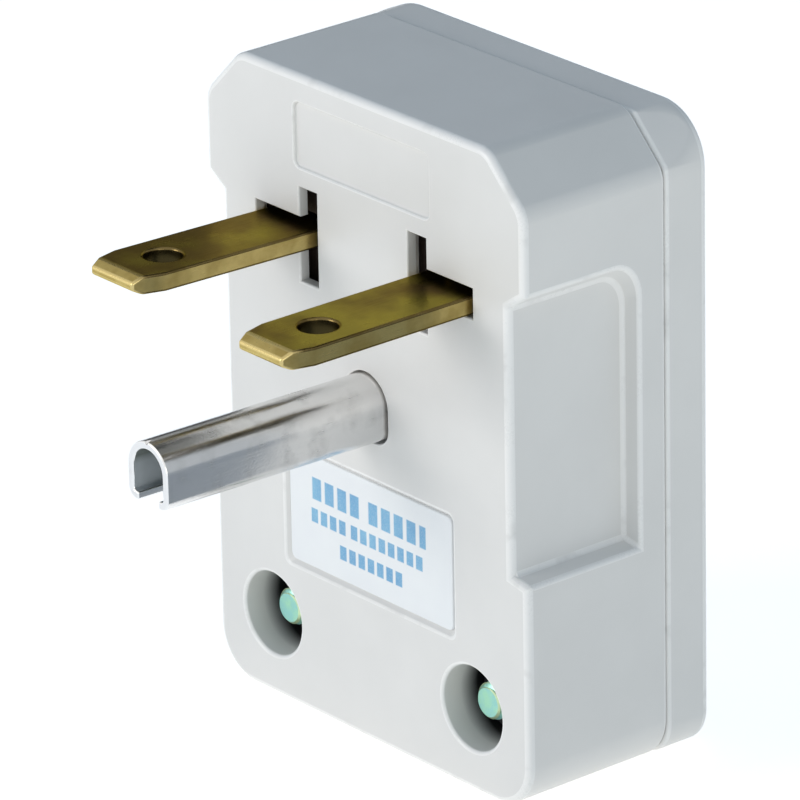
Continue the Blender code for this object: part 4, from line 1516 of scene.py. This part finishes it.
@dataclass
class RearCover:
    """The shallow rear moulding: lip, bosses, hook, ribs and the screws' recesses."""

    form: BodyForm = field(default_factory=BodyForm)
    front: float = 13.9
    back: float = 18.2
    floor: float = 16.2
    rear_radius: float = 0.8
    inset: float = 0.35
    top_corner: float = 4.6
    bottom_corner: float = 3.0
    lean: float = 0.33
    gap: float = 0.3
    lip_front: float = 12.95
    lip_wall: float = 1.0
    head_radius: float = 3.3
    head_seat: float = 15.8
    head_rim: float = 0.25
    room_lap: float = 0.15
    boss_drop: float = 0.1
    hook: tuple[Point, Point] = ((-4.0, 12.95, 10.05), (4.0, 13.85, 11.45))
    rib_place: float = 3.7475
    rib_half: float = 0.55
    rib_front: float = 12.9
    rib_low: float = -6.35
    rib_high: float = 2.8

    def build(self) -> Piece:
        """Builds, finishes and dresses the cover.

        Returns:
            The cover.
        """
        shell = self.outer_shell()
        round_edges(shell, self.rear_radius, 6, behind(self.back))
        round_edges(shell, self.form.parting_radius, 3, before(self.front))
        combine(shell, Merge.ON,
                self.form.hollow("lip", self.lip_front, self.front + self.gap, self.gap))
        combine(shell, Merge.AWAY, self.form.hollow("inside", self.lip_front - BEYOND, self.floor,
                                                    self.gap + self.lip_wall))
        self.add_inside(shell)
        clean_flats(shell)
        self.soften_mouths(shell)
        finish_piece(shell)
        WHITE.dress(shell)
        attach(shell, "root")
        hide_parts("rear_cover")
        return shell

    def outer_shell(self) -> Piece:
        """Makes the outside, whose round top corners lean in to the housing's cut corners.

        Returns:
            The solid outer form, with sharp front and rear edges.
        """
        form = self.form
        top = form.top - self.inset
        bottom = form.bottom + self.inset
        shell = block("cover_shell", (-form.half_width, self.front, bottom),
                      (form.half_width, self.back, top))
        round_edges(shell, self.bottom_corner, 14, lower_corner(bottom), marked=False)
        round_edges(shell, self.top_corner, 18, upper_corner(top), marked=False)
        for side in Side:
            place = (side.value * form.half_width, self.front, form.top - form.top_cut)
            slice_at(shell, place, (side.value, -self.lean, 1.0), drop_far=True, fill=True)
        return shell

    def add_inside(self, shell: Piece) -> None:
        """Adds the hook, the bosses and the ribs, and cuts the screws' ways and the inlet.

        Args:
            shell: The hollow cover.
        """
        form = self.form
        combine(shell, Merge.ON, block("hook", *self.hook))
        for side in Side:
            place = form.screw_axis(side)
            rib = side.value * self.rib_place
            combine(shell, Merge.AWAY, rod("column_room", form.column_radius + self.gap, place,
                                           self.lip_front - BEYOND, self.front + self.room_lap))
            combine(shell, Merge.ON,
                    rod("boss", form.column_radius, place,
                        self.front + self.gap + self.boss_drop, self.floor + LAP),
                    block("rib", (rib - self.rib_half, self.rib_front, self.rib_low),
                          (rib + self.rib_half, self.floor + LAP, self.rib_high)))
            combine(shell, Merge.AWAY,
                    rod("head_room", self.head_radius, place, self.head_seat, self.back + BEYOND,
                        sides=ROUND_SIDES),
                    rod("screw_way", form.screw_hole, place, self.front - BEYOND,
                        self.head_seat + LAP))
        combine(shell, Merge.AWAY, form.inlet())

    def soften_mouths(self, shell: Piece) -> None:
        """Rounds the rims of the screw recesses.

        Args:
            shell: The cover with its recesses.
        """
        def at_recess(one: Vector, two: Vector) -> bool:
            """Says whether an edge lies on a recess's rim."""
            reach = max(self.form.from_screw(one), self.form.from_screw(two))
            return behind(self.back)(one, two) and reach < self.head_radius + NEAR

        round_edges(shell, self.head_rim, 3, at_recess)


@dataclass
class PowerBlades:
    """The flat brass blades with tapered tips, holes and tails bent down behind the face."""

    centre: float = 9.12
    width: float = 6.35
    low: float = -0.9
    high: float = 0.6
    reach: float = 17.2
    tail_front: float = 5.2
    tail_end: float = -11.6
    hole_radius: float = 1.525
    hole_place: float = -11.7
    terminal_radius: float = 2.05
    terminal_drop: float = -7.8
    taper: float = 0.7
    taper_length: float = 2.6
    bevel_length: float = 0.9
    tip_thickness: float = 0.6
    bend: float = 0.5
    drill: Pair = (-3.0, 3.0)
    tail_drill: Pair = (3.0, 9.0)
    edge_radius: float = 0.2
    root: float = 1.0
    rise: float = 1.4
    shortfall: float = 0.6
    tip_from: float = -14.0

    def build(self) -> list[Piece]:
        """Builds, finishes and dresses both blades, the left one slightly bent up.

        Returns:
            Both blades.
        """
        right = self.model()
        left = copy_of(right, "power_blade_left")
        mirror_across(left)
        shift(left, lambda spot: spot.y < self.tip_from, (0.0, self.shortfall, 0.0))
        slice_at(left, (0.0, self.root, 0.0), (0.0, 1.0, 0.0))
        turn(left, lambda spot: spot.y < self.root - TOUCH, self.rise, (0.0, self.root, 0.0))
        for strip in (right, left):
            finish_piece(strip)
            BRASS.dress(strip)
            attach(strip, "root")
            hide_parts(strip.name.replace("power_", ""))
        return [right, left]

    def model(self) -> Piece:
        """Models the right blade.

        Returns:
            The blade, unfinished.
        """
        middle = self.centre
        thickness = self.high - self.low
        tail_back = self.tail_front + thickness
        half = self.width / 2
        strip = block("power_blade_right", (middle - half, -self.reach, self.low),
                      (middle + half, tail_back, self.high))
        slice_at(strip, (0.0, self.tail_front, 0.0), (0.0, 1.0, 0.0))
        pull_out(strip, lambda spot, normal: normal.z < -0.9 and spot.y > self.tail_front,
                 (0.0, 0.0, self.tail_end - self.low))
        self.shape_tip(strip, middle)
        round_edges(strip, self.bend + thickness, 10, lambda one, two: behind(tail_back)(one, two)
                    and min(one.z, two.z) > self.high - TOUCH, marked=False)
        round_edges(strip, self.bend, 5, lambda one, two: all(
            abs(spot.y - self.tail_front) < TOUCH and abs(spot.z - self.low) < TOUCH
            for spot in (one, two)), marked=False)
        combine(strip, Merge.AWAY,
                rod("hole", self.hole_radius, (middle, self.hole_place), *self.drill, Axis.Z, 48),
                rod("terminal_hole", self.terminal_radius, (middle, self.terminal_drop),
                    *self.tail_drill, sides=48))
        clean_flats(strip)
        # The flats turn dull: stain patches, and a painted dark reflection that keeps them darker
        # than the sides.
        mark_faces(strip, Mark.DULL, lambda spot, normal: abs(normal.z) > 0.95)
        # The hole's wall gets near-black painted shade.
        mark_faces(strip, Mark.GRIMY, lambda spot, normal: abs(normal.z) < 0.1
                   and math.hypot(spot.x - middle, spot.y - self.hole_place)
                   < self.hole_radius + NEAR)
        round_edges(strip, self.edge_radius, 3, lambda one, two: True, sharp=24.0)
        return strip

    def shape_tip(self, strip: Piece, middle: float) -> None:
        """Narrows the tip in width, then thins its last stretch.

        Args:
            strip: The plain blade.
            middle: The blade's middle across the plug.
        """
        level = (self.low + self.high) / 2
        narrow = 1.0 - 2 * self.taper / self.width
        thin = self.tip_thickness / (self.high - self.low)
        slice_at(strip, (0.0, self.taper_length - self.reach, 0.0), (0.0, 1.0, 0.0))
        stretch(strip, lambda spot: spot.y < TOUCH - self.reach, (narrow, 1.0, 1.0),
                (middle, 0.0, 0.0))
        slice_at(strip, (0.0, self.bevel_length - self.reach, 0.0), (0.0, 1.0, 0.0))
        stretch(strip, lambda spot: spot.y < TOUCH - self.reach, (1.0, 1.0, thin),
                (middle, 0.0, level))


@dataclass
class EarthPin:
    """The earth pin: sheet folded to an arch that is open below, with a strap down inside."""

    half_width: float = 2.35
    top: float = -9.22
    bottom: float = -14.2
    reach: float = 20.8
    back: float = 5.6
    sheet: float = 0.62
    curl: float = 0.9
    half_slit: float = 1.2
    strap_front: float = 5.2
    strap_back: float = 6.0
    neck: float = 2.45
    wide: float = 3.1
    shoulder: float = -15.3
    strap_end: float = -22.6
    terminal_radius: float = 2.05
    terminal_drop: float = -18.8
    strap_corner: float = 0.4
    drill: Pair = (3.0, 8.0)
    rim_radius: float = 0.13
    lift: float = 0.35
    lift_from: float = -10.0
    cleft_half: float = 0.34
    cleft_drop: float = 0.42
    cleft_length: float = 0.9
    cleft_taper: float = 0.25
    cleft_slope: float = 0.55
    cleft_play: float = 0.5
    cleft_rise: float = 0.3

    def build(self) -> Piece:
        """Builds, finishes and dresses the pin.

        Returns:
            The pin.
        """
        pin = self.folded_sheet()
        combine(pin, Merge.ON, self.strap())
        combine(pin, Merge.AWAY, self.cleft(),
                rod("terminal_hole", self.terminal_radius, (0.0, self.terminal_drop), *self.drill,
                    sides=48))
        clean_flats(pin)
        finish_piece(pin, smooth=40.0)
        NICKEL.dress(pin)
        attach(pin, "root")
        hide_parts("earth_pin")
        return pin

    def folded_sheet(self) -> Piece:
        """Folds the arch out of a block's skin.

        Returns:
            The folded sheet.
        """
        half = self.half_width
        pin = block("ground_pin", (-half, -self.reach, self.bottom), (half, self.back, self.top))
        round_edges(pin, half - TOUCH, 16, upper_corner(self.top), marked=False)
        round_edges(pin, self.curl, 8, lower_corner(self.bottom), marked=False)
        for place in (-self.half_slit, self.half_slit):
            slice_at(pin, (place, 0.0, 0.0), (1.0, 0.0, 0.0))
        drop_faces(pin, lambda spot, normal: abs(normal.y) > 0.9
                   or (normal.z < -0.9 and abs(spot.x) < self.half_slit))
        turn_outwards(pin)
        wall = pin.modifiers.new("wall", "SOLIDIFY")
        wall.thickness = self.sheet * MM
        wall.offset = -1.0
        wall.use_even_offset = True
        # The inner faces are dull; those that look down get painted shade from the finish.
        wall.material_offset = Mark.DULL.value
        apply_all(pin)
        round_edges(pin, self.rim_radius, 3, lambda one, two: min(one.y, two.y) < 0.0, sharp=40.0)
        shift(pin, lambda spot: spot.y < self.lift_from, (0.0, 0.0, self.lift))
        return pin

    def cleft(self) -> Piece:
        """Makes the cutter of the small cleft where the fold's two halves meet at the end.

        Returns:
            The cutter, which narrows downwards.
        """
        top = self.top + self.lift
        low = (-self.cleft_half, -self.reach - self.cleft_play, top - self.cleft_drop)
        high = (self.cleft_half, self.cleft_length - self.reach, top + self.cleft_rise)
        cutter = block("cleft", low, high)
        stretch(cutter, lambda spot: spot.z < top, (self.cleft_taper, 1.0, 1.0), (0.0, 0.0, 0.0))
        shift(cutter, lambda spot: spot.z < top and spot.y > -self.reach,
              (0.0, 0.0, self.cleft_slope))
        return cutter

    def strap(self) -> Piece:
        """Makes the flat strap, narrow above and wide at the terminal.

        Returns:
            The strap.
        """
        top = self.top + self.sheet
        strap = block("strap", (-self.wide, self.strap_front, self.strap_end),
                      (self.wide, self.strap_back, top))
        for height in (self.shoulder, self.shoulder + self.sheet):
            slice_at(strap, (0.0, 0.0, height), (0.0, 0.0, 1.0))
        stretch(strap, lambda spot: spot.z > self.shoulder + self.sheet / 2,
                (self.neck / self.wide, 1.0, 1.0), (0.0, 0.0, 0.0))
        round_edges(strap, self.strap_corner, 4, lambda one, two: abs(one.y - two.y) > 0.5
                    and (max(one.z, two.z) < self.strap_end + TOUCH
                         or min(one.z, two.z) > top - TOUCH), marked=False)
        return strap


@dataclass(frozen=True)
class Thread:
    """A sixty-degree screw thread along Y, cut flat at its crests."""

    radius: float = 1.5
    pitch: float = 0.5
    steps: int = 28
    crest_rise: float = 0.108
    spare_turns: int = 5
    bar_end: float = 0.5

    def solid(self, name: str, place: Pair, start: float, end: float, play: float = 0.0,
              tip: float = 0.0) -> Piece:
        """Makes a threaded rod.

        Args:
            name: The name of the new piece.
            place: Its place across and up.
            start: Where it begins in depth, which is its tip.
            end: Where it ends.
            play: How much thicker it is all round, for a nut's thread.
            tip: The chamfer at its tip.

        Returns:
            The threaded rod.
        """
        corner = self.pitch / math.sqrt(3.0)
        crest = self.radius + play + self.pitch * self.crest_rise
        lead = self.pitch * 2
        ridge = self.profile(name, corner, crest)
        helix = ridge.modifiers.new("helix", "SCREW")
        helix.axis = "Z"
        helix.screw_offset = self.pitch * MM
        helix.iterations = math.ceil((end - start) / self.pitch) + self.spare_turns
        helix.steps = helix.render_steps = self.steps
        helix.use_merge_vertices = True
        helix.merge_threshold = WELD
        apply_all(ridge)
        slice_at(ridge, (0.0, 0.0, lead), (0.0, 0.0, 1.0), drop_near=True, fill=True)
        slice_at(ridge, (0.0, 0.0, lead + end - start), (0.0, 0.0, 1.0), drop_far=True, fill=True)
        turn_outwards(ridge)
        take(ridge)
        ridge.rotation_euler = Axis.Y.value
        ridge.location = metres((place[0], start - lead, place[1]))
        bpy.ops.object.transform_apply(location=True, rotation=True, scale=True)
        bar = rod("bar", self.radius + play, place, start, end + self.bar_end,
                  sides=self.steps * 2)
        if tip:
            round_edges(bar, tip, 1, before(start))
        combine(ridge, Merge.SHARED, bar)
        return ridge

    def profile(self, name: str, corner: float, crest: float) -> Piece:
        """Draws the ridge's two flanks, which the screw modifier winds.

        Args:
            name: The name of the new piece.
            corner: The radius of the triangle, to its corners.
            crest: How far its tip is from the screw's axis.

        Returns:
            A triangle without its inner side.
        """
        inner = (crest - corner) * MM
        deselect_all()
        bpy.ops.mesh.primitive_circle_add(
            vertices=3, radius=corner * MM, location=(inner, 0, 0),
            rotation=Matrix(((0, 1, 0), (0, 0, 1), (1, 0, 0))).to_euler())
        ridge = claim(name)
        with editing(ridge):
            choose(ridge, Kind.EDGES, lambda side: max(end.co.x for end in side.verts) < inner)
            bpy.ops.mesh.delete(type="EDGE")
        return ridge


@dataclass
class CoverFastenings:
    """The cover screws from the rear, and the hexagon nuts trapped in the bores of the face."""

    form: BodyForm = field(default_factory=BodyForm)
    thread: Thread = field(default_factory=Thread)
    tip: float = 1.6
    tip_chamfer: float = 0.35
    head_radius: float = 2.8
    head_seat: float = 16.1
    head_top: float = 18.0
    head_lap: float = 0.3
    dome_radius: float = 0.86
    seat_radius: float = 0.12
    recess: Pair = (1.7, 0.36)
    recess_depth: float = 1.1
    recess_taper: float = 0.55
    recess_edge: float = 0.06
    nut_corner: float = 3.1755
    nut_front: float = 3.6
    nut_back: float = 6.0
    nut_chamfer: float = 0.42
    tap_play: float = 0.08
    sink_radius: float = 1.62
    sink_depth: float = 0.18

    def build(self) -> list[Piece]:
        """Builds, finishes and dresses the screws and the nuts, each modelled once and copied.

        Returns:
            All four pieces.
        """
        pieces = []
        for model, stem, node, finish in ((self.screw, "cover_bolt_", "cover_screw_", GREEN_ZINC),
                                          (self.nut, "column_nut_", "cover_nut_", BRIGHT_ZINC)):
            right = model(stem + "right", self.form.screw_axis(Side.RIGHT))
            left = copy_of(right, stem + "left")
            move_all(left, (-2 * self.form.screw_place[0], 0.0, 0.0))
            for side, piece in (("right", right), ("left", left)):
                finish_piece(piece, smooth=32.0)
                finish.dress(piece)
                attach(piece, "root")
                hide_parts(node + side)
                pieces.append(piece)
        return pieces

    def screw(self, name: str, place: Pair) -> Piece:
        """Makes the threaded screw with its domed head and cross recess.

        Args:
            name: The name of the piece.
            place: Its place across and up.

        Returns:
            The screw.
        """
        screw = self.thread.solid(name, place, self.tip, self.head_seat + self.head_lap,
                                  tip=self.tip_chamfer)
        head = rod("head", self.head_radius, place, self.head_seat, self.head_top)
        round_edges(head, self.dome_radius, 8, behind(self.head_top), marked=False)
        round_edges(head, self.seat_radius, 2, before(self.head_seat), marked=False)
        across, up = place
        for wide, tall in (self.recess, self.recess[::-1]):
            arm = block("recess", (across - wide, self.head_top - self.recess_depth, up - tall),
                        (across + wide, self.head_top + BEYOND, up + tall))
            stretch(arm, lambda spot: spot.y < self.head_top,
                    (self.recess_taper, 1.0, self.recess_taper), (across, 0.0, up))
            combine(head, Merge.AWAY, arm)
        round_edges(head, self.recess_edge, 1, behind(self.head_top))
        combine(screw, Merge.ON, head)
        return screw

    def nut(self, name: str, place: Pair) -> Piece:
        """Makes the hexagon nut with turned corners and a threaded hole.

        Args:
            name: The name of the piece.
            place: Its place across and up.

        Returns:
            The nut.
        """
        nut = rod(name, self.nut_corner, place, self.nut_front, self.nut_back, sides=6)
        washer = rod("washer", self.nut_corner, place, self.nut_front, self.nut_back, sides=72)
        round_edges(washer, self.nut_chamfer, 1, lambda one, two: abs(one.y - two.y) < TOUCH)
        combine(nut, Merge.SHARED, washer)
        combine(nut, Merge.AWAY, self.thread.solid("tap", place, self.nut_front - LAP,
                                                   self.nut_back + LAP, play=self.tap_play))
        for mouth in (self.nut_front, self.nut_back):
            combine(nut, Merge.AWAY, rod("sink", self.sink_radius, place, mouth - self.sink_depth,
                                         mouth + self.sink_depth, sides=56))
        # The whole nut is near black, a painted shade deep in the bore.
        mark_faces(nut, Mark.GRIMY, lambda spot, normal: True)
        return nut


@dataclass
class RatingLabel:
    """The label in its shallow panel, as a thin coated plate with round corners."""

    half: Pair = (9.6, 4.65)
    middle: float = -22.65
    front: float = 0.22
    back: float = 0.49
    corner: float = 0.6
    edge_radius: float = 0.08

    def build(self) -> Piece:
        """Builds, finishes and dresses the label.

        Returns:
            The label.
        """
        across, up = self.half
        plate = block("rating_plate", (-across, self.front, self.middle - up),
                      (across, self.back, self.middle + up))
        round_edges(plate, self.corner, 10, lambda one, two: abs(one.y - two.y) > 0.2,
                    marked=False)
        round_edges(plate, self.edge_radius, 3, before(self.front))
        finish_piece(plate)
        PAPER.dress(plate)
        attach(plate, "root")
        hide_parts("rating_label")
        return plate


@dataclass
class InnerWorks:
    """The pieces inside the body, which keep their CAD form and get real finishes."""

    finishes: dict[str, Finish] = field(default_factory=lambda: {
        "terminal_carrier": RESIN,
        **{"nut_plate_" + pole: BRASS for pole in ("left", "right", "earth")},
        **{"wire_clamp_" + pole: BRIGHT_ZINC for pole in ("left", "right", "earth")},
        **{"terminal_screw_" + pole: NICKEL for pole in ("left", "right", "earth")},
        "cord_saddle": BRIGHT_ZINC, "saddle_screw_left": BRIGHT_ZINC,
        "saddle_screw_right": BRIGHT_ZINC})

    def dress(self) -> None:
        """Dresses each inner node."""
        for node, finish in self.finishes.items():
            finish.dress_node(node)


# The studio


@dataclass
class Studio:
    """Camera at the photograph's view, a pale floor, soft lamps, a white surrounding and cards."""

    yaw: float = 50.523
    rise: float = 22.340
    roll: float = -1.124
    aim: Pair = (2.824, -10.438)
    distance: float = 557.124
    lens: float = 336.04
    sensor: float = 36.0
    clip: Pair = (0.01, 20.0)
    target: Point = (0.0, 0.0, -0.012)
    floor_height: float = -39.57
    floor_size: float = 6.0
    floor_tone: Colour = (0.88, 0.88, 0.88)
    floor_light: Colour = (1.0, 0.98, 0.91)
    sky_light: Colour = (0.78, 0.96, 1.14)
    ambient: float = 0.38
    # Near the object the floor's light is weaker: a painted contact shadow that darkens the
    # undersides.
    painted_shadow_glow: float = 0.36
    table_glow: float = 0.66
    table_seen: float = 0.66
    table_reach: Pair = (0.045, 0.14)
    cloth_roughness: float = 0.9
    flat_below: float = -0.03
    lamps: tuple[tuple[str, Point, float, float, Colour], ...] = (
        ("key", (-0.42, -0.95, 0.31), 0.50, 4.15, (1.0, 0.955, 0.925)),
        ("fill", (1.00, -0.45, 0.05), 0.60, 2.2, (1.0, 0.98, 0.90)))
    cards: tuple[tuple[str, Point, float, Colour], ...] = (
        ("card_behind", (-0.62, 0.50, 0.33), 1.15, (0.50, 0.50, 0.50)),
        ("card_above", (-0.02, 0.48, 0.62), 0.80, (0.13, 0.13, 0.12)),
        ("card_rear", (-0.06, 0.60, 0.08), 0.40, (0.03, 0.03, 0.03)),
        ("card_streak", (-0.17, 0.41, 0.53), 0.20, (0.01, 0.01, 0.01)),
        ("card_horizon", (-0.56, 0.42, 0.01), 0.40, (0.01, 0.01, 0.01)),
        ("card_right", (0.66, 0.54, 0.22), 0.75, (0.60, 0.61, 0.63)),
        ("card_table", (0.325, 0.28, -0.0392), 0.60, (0.60, 0.61, 0.63)))

    def build(self) -> None:
        """Sets up the whole studio."""
        self.add_camera()
        self.add_floor()
        self.add_world()
        for lamp in self.lamps:
            self.add_lamp(*lamp)
        for card in self.cards:
            self.add_card(*card)
        bpy.context.scene.view_settings.view_transform = "Standard"

    def add_camera(self) -> None:
        """Places the camera as fitted to the photograph."""
        yaw, rise, roll = (math.radians(angle) for angle in (self.yaw, self.rise, self.roll))
        back = Vector((math.sin(yaw) * math.cos(rise), -math.cos(yaw) * math.cos(rise),
                       math.sin(rise)))
        right = Vector((math.cos(yaw), math.sin(yaw), 0.0))
        up = back.cross(right)
        across = right * math.cos(roll) + up * math.sin(roll)
        upright = up * math.cos(roll) - right * math.sin(roll)
        place = across * self.aim[0] + upright * self.aim[1] + back * self.distance
        turn = Matrix((across, upright, back)).transposed().to_4x4()
        data = bpy.data.cameras.new("camera")
        data.lens = self.lens
        data.sensor_width = self.sensor
        data.sensor_fit = "HORIZONTAL"
        data.clip_start, data.clip_end = self.clip
        camera = bpy.data.objects.new("camera", data)
        camera.matrix_world = Matrix.Translation(place * MM) @ turn
        bpy.context.scene.collection.objects.link(camera)
        bpy.context.scene.camera = camera

    def add_plane(self, name: str, cloth: str, place: Point, size: float, turn: Euler | Point,
                  colour: Colour) -> tuple[Piece, Wiring, Node]:
        """Adds a matt plane for the studio.

        Args:
            name: The plane's name.
            cloth: The name of its material.
            place: Its middle, in metres.
            size: The length of its side in metres.
            turn: How it is turned, in radians.
            colour: Its colour.

        Returns:
            The plane, its material's wiring and its shader.
        """
        deselect_all()
        bpy.ops.mesh.primitive_plane_add(size=size, location=place, rotation=turn)
        plane = bpy.context.active_object
        plane.name = name
        bpy.ops.object.transform_apply(location=True, rotation=True, scale=True)
        finish, wiring, shader = new_material(cloth)
        shader.inputs["Base Color"].default_value = (*colour, 1.0)
        shader.inputs["Roughness"].default_value = self.cloth_roughness
        plane.data.materials.append(finish)
        return plane, wiring, shader

    def add_floor(self) -> None:
        """Lays the pale floor, which is white to the eye, keeps the object's shadow and lights the
        object by emission, more weakly near it as a painted contact shadow.
        """
        floor, wiring, shader = self.add_plane(
            "floor", "floor_paper", (0.0, 0.0, self.floor_height * MM), self.floor_size,
            (0.0, 0.0, 0.0), self.floor_tone)
        shader.inputs["Specular IOR Level"].default_value = 0.0
        seen = self.seen(wiring)
        wiring.feed(shader.inputs["Emission Color"],
                    wiring.tint(seen, self.floor_light, (1.0, 1.0, 1.0)))
        # The floor's light on the object dips near it, a painted contact shadow.
        away = wiring.add("VectorMath", {"operation": "LENGTH"},
                          Vector=wiring.add("TexCoord").outputs["Object"])
        glow_with_painted_shadow = wiring.spread(away.outputs["Value"], *self.table_reach, self.painted_shadow_glow,
                             self.table_glow)
        wiring.feed(shader.inputs["Emission Strength"],
                    wiring.spread(seen, 0.0, 1.0, glow_with_painted_shadow, self.table_seen))

    def seen(self, wiring: Wiring) -> Socket:
        """Says where a surface is seen straight, in a mirror or through glass.

        Args:
            wiring: The material's or world's wiring.

        Returns:
            A number that is 1 for such rays and 0 for the light that falls on the object.
        """
        rays = wiring.add("LightPath").outputs
        straight = wiring.number("MAXIMUM", rays["Is Camera Ray"], rays["Is Glossy Ray"])
        return wiring.number("MAXIMUM", straight, rays["Is Transmission Ray"])

    def add_world(self) -> None:
        """Makes the plain white surrounding, which lights the object at a lower level."""
        world = bpy.data.worlds.new("surrounding")
        bpy.context.scene.world = world
        world.use_nodes = True
        wiring = Wiring(world.node_tree)
        background = world.node_tree.nodes["Background"]
        seen = self.seen(wiring)
        wiring.feed(background.inputs["Color"],
                    wiring.tint(seen, self.sky_light, (1.0, 1.0, 1.0)))
        wiring.feed(background.inputs["Strength"],
                    wiring.spread(seen, 0.0, 1.0, self.ambient, 1.0))

    def facing(self, place: Point, front: str) -> Euler:
        """Gives the turn that points one of a thing's own axes at the object."""
        towards = Vector(self.target) - Vector(place)
        return towards.to_track_quat(front, "Y").to_euler()

    def add_lamp(self, name: str, place: Point, size: float, power: float,
                 colour: Colour) -> None:
        """Adds a soft square lamp that points at the object.

        Args:
            name: The lamp's name.
            place: Where it stands, in metres.
            size: The length of its side in metres.
            power: Its power in watts.
            colour: The colour of its light.
        """
        data = bpy.data.lights.new(name, "AREA")
        data.shape = "SQUARE"
        data.size = size
        data.energy = power
        data.color = colour
        lamp = bpy.data.objects.new(name, data)
        lamp.location = place
        lamp.rotation_euler = self.facing(place, "-Z")
        bpy.context.scene.collection.objects.link(lamp)

    def add_card(self, name: str, place: Point, size: float, colour: Colour) -> None:
        """Adds a plain card that only reflections show, as photographers put beside bright metal.

        Args:
            name: The card's name.
            place: Where it stands, in metres. A card just above the floor lies flat.
            size: The length of its side in metres.
            colour: Its colour.
        """
        turn = (0.0, 0.0, 0.0) if place[2] < self.flat_below else self.facing(place, "Z")
        card, *_ = self.add_plane(name, name + "_cloth", place, size, turn, colour)
        card.visible_camera = False
        card.visible_diffuse = False
        card.visible_shadow = False
        card.visible_transmission = False


def main() -> None:
    """Builds the sub-assemblies in order, reports each piece, and sets up the studio."""
    logging.basicConfig(level=logging.INFO, format="%(message)s")
    pieces: list[Piece] = [part().build()
                           for part in (FrontHousing, RearCover, EarthPin, RatingLabel)]
    pieces += PowerBlades().build() + CoverFastenings().build()
    for piece in pieces:
        LOG.info("%s: %d faces", piece.name, len(piece.data.polygons))
    InnerWorks().dress()
    for mark in Mark:
        bpy.data.materials.remove(bpy.data.materials["mark_" + mark.name.lower()])
    Studio().build()


if __name__ == "__main__":
    main()
